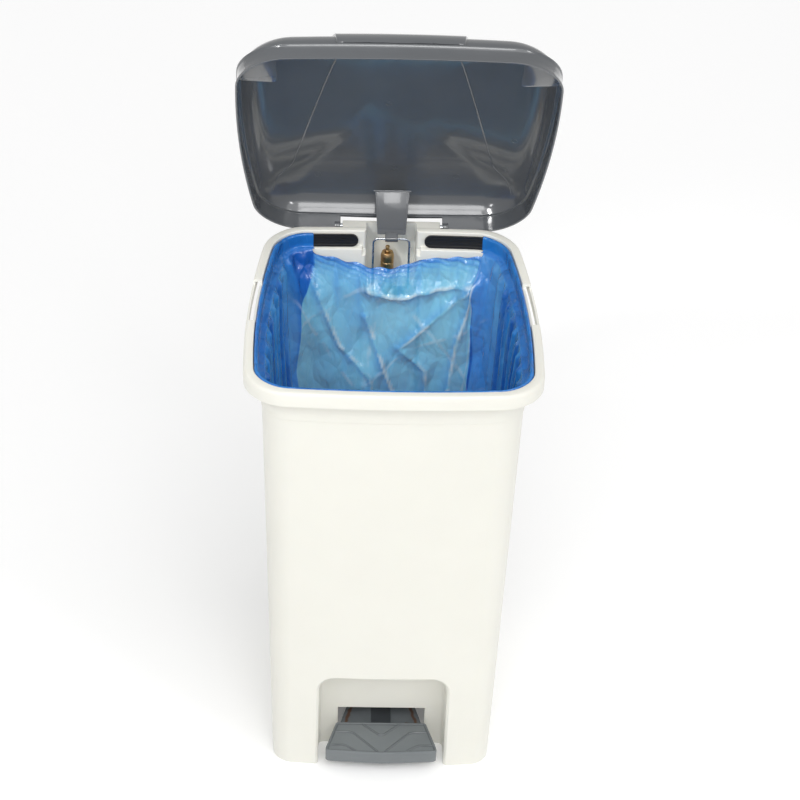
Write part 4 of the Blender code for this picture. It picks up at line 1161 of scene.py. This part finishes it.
def make_lever_face():
    """The lever's top plate in front of its pivot, with rounded edges and a channel along its middle."""
    half_side = [(0.0475, -0.0580), (0.0560, -0.0860), (0.0620, -0.1080), (0.0622, -0.1500)]
    outline = half_side + [(-x, y) for x, y in reversed(half_side)]
    plate = new_object(prism_mesh("lever_face", outline, 0.0076, 0.0094, "XY"), STEEL, LEVER_FRAME)
    bevel(plate, 0.0007, 3)
    channel = box_mesh("lever_channel", (-0.0145, -0.1400, 0.0082), (0.0145, -0.0500, 0.0150))
    combine(plate, "DIFFERENCE", [new_object(channel, STEEL, LEVER_FRAME)])
    smooth(plate)
    return finish_piece(plate, "pedal", "grey_steel")


def dress_cad_nodes():
    """Materials and softened edges for the CAD nodes that stay."""
    looks = {"rod_cover": WHITE, "axle_hanger_left": WHITE, "axle_hanger_right": WHITE, "pedal_lever": STEEL}
    plated = ["damper_bracket", "pedal_axle"]
    plated += [f"{name}_{side}" for name in ("hinge_pin", "bracket_screw", "pad_screw", "axle_clip")
               for side in ("left", "right")]
    looks.update({name: ZINC for name in plated})
    softened = ("pedal_lever", "damper_bracket", "axle_hanger_left", "axle_hanger_right")
    for name, look in looks.items():
        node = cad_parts[name]
        node.data.materials.clear()
        node.data.materials.append(look)
        if name in softened:
            modifier = node.modifiers.new("bevel", "BEVEL")
            modifier.width = 0.0005
            modifier.segments = 2
            modifier.limit_method = "ANGLE"
            modifier.angle_limit = math.radians(50)


# Studio ---------------------------------------------------------------------------------------------------

def make_camera():
    """The camera: from the front and above, almost straight on, with a long lens."""
    yaw, pitch, roll = 0.0326, 0.65689, 0.03627
    distance, height = 3.23428, 3.03754
    data = bpy.data.cameras.new("camera")
    data.sensor_width = 36
    data.lens = 132.48
    data.shift_x = 0.01268
    camera = bpy.data.objects.new("camera", data)
    bpy.context.scene.collection.objects.link(camera)
    back = Vector((-math.sin(yaw), -math.cos(yaw), 0))
    place = RIM_MIDDLE + back * distance + Vector((0, 0, height))
    look = -back * math.cos(pitch) + Vector((0, 0, -math.sin(pitch)))
    turn = look.to_track_quat("-Z", "Y").to_matrix().to_4x4() @ Matrix.Rotation(roll, 4, "Z")
    camera.matrix_world = Matrix.Translation(place) @ turn
    bpy.context.scene.camera = camera


def make_light(kind, name, place, target, power, **settings):
    """A light at a place, aimed at a target."""
    data = bpy.data.lights.new(name, kind)
    data.energy = power
    for setting, value in settings.items():
        setattr(data, setting, value)
    light = bpy.data.objects.new(name, data)
    bpy.context.scene.collection.objects.link(light)
    aim = (Vector(target) - Vector(place)).to_track_quat("-Z", "Y").to_matrix().to_4x4()
    light.matrix_world = Matrix.Translation(place) @ aim


def make_floor():
    """A wide white floor, which glows a little so that it stays white."""
    bpy.ops.mesh.primitive_plane_add(size=14)
    floor = bpy.context.object
    floor.name = "studio_floor"
    paint = Look("studio_floor", (0.95, 0.95, 0.95), 0.9)
    paint.color(paint.blend(paint.noise(0.5), (0.95, 0.95, 0.95), (0.97, 0.97, 0.97)))
    paint.set({"Emission Color": (1, 1, 1), "Emission Strength": 0.10})
    floor.data.materials.append(paint.material)


def make_studio():
    """A floor under an even sky, a wide soft sun, a fill, a narrow spot on the hinge and three soft boxes."""
    scene = bpy.context.scene
    scene.view_settings.view_transform = "Standard"
    scene.world = scene.world or bpy.data.worlds.new("studio")
    scene.world.use_nodes = True
    sky = scene.world.node_tree.nodes["Background"]
    sky.inputs["Color"].default_value = (1, 1, 1, 1)
    sky.inputs["Strength"].default_value = 0.56
    make_floor()
    make_light("SUN", "sun", (0, 0, 0), (-0.25, 0.55, -1.0), 1.05, angle=math.radians(70))
    make_light("AREA", "front_fill", (0.1, -2.3, 2.9), (0, 0, 0.60), 19.0, shape="RECTANGLE",
               size=1.4, size_y=1.1)
    hinge = RIM_MIDDLE + Vector((0, 0.14, 0.70))
    make_light("SPOT", "snoot", (-1.15, -1.50, 2.70), hinge, 150, spot_size=math.radians(12),
               spot_blend=0.9, shadow_soft_size=0.22)
    middle = (0, 0, 0.55)
    for name, place, width, height, power in (("left_box", (-1.3, -2.0, 1.9), 0.25, 0.45, 4.0),
                                              ("right_box", (1.5, -1.7, 2.0), 0.24, 0.42, 3.5),
                                              ("top_box", (0.2, -1.2, 2.7), 0.60, 0.20, 2.0)):
        make_light("AREA", name, place, middle, power, shape="RECTANGLE", size=width, size_y=height)


make_body()
make_lid()
make_arm()
make_ring()
make_bag()
make_push_rod()
make_damper()
make_pad()
make_lever_face()
dress_cad_nodes()
make_camera()
make_studio()
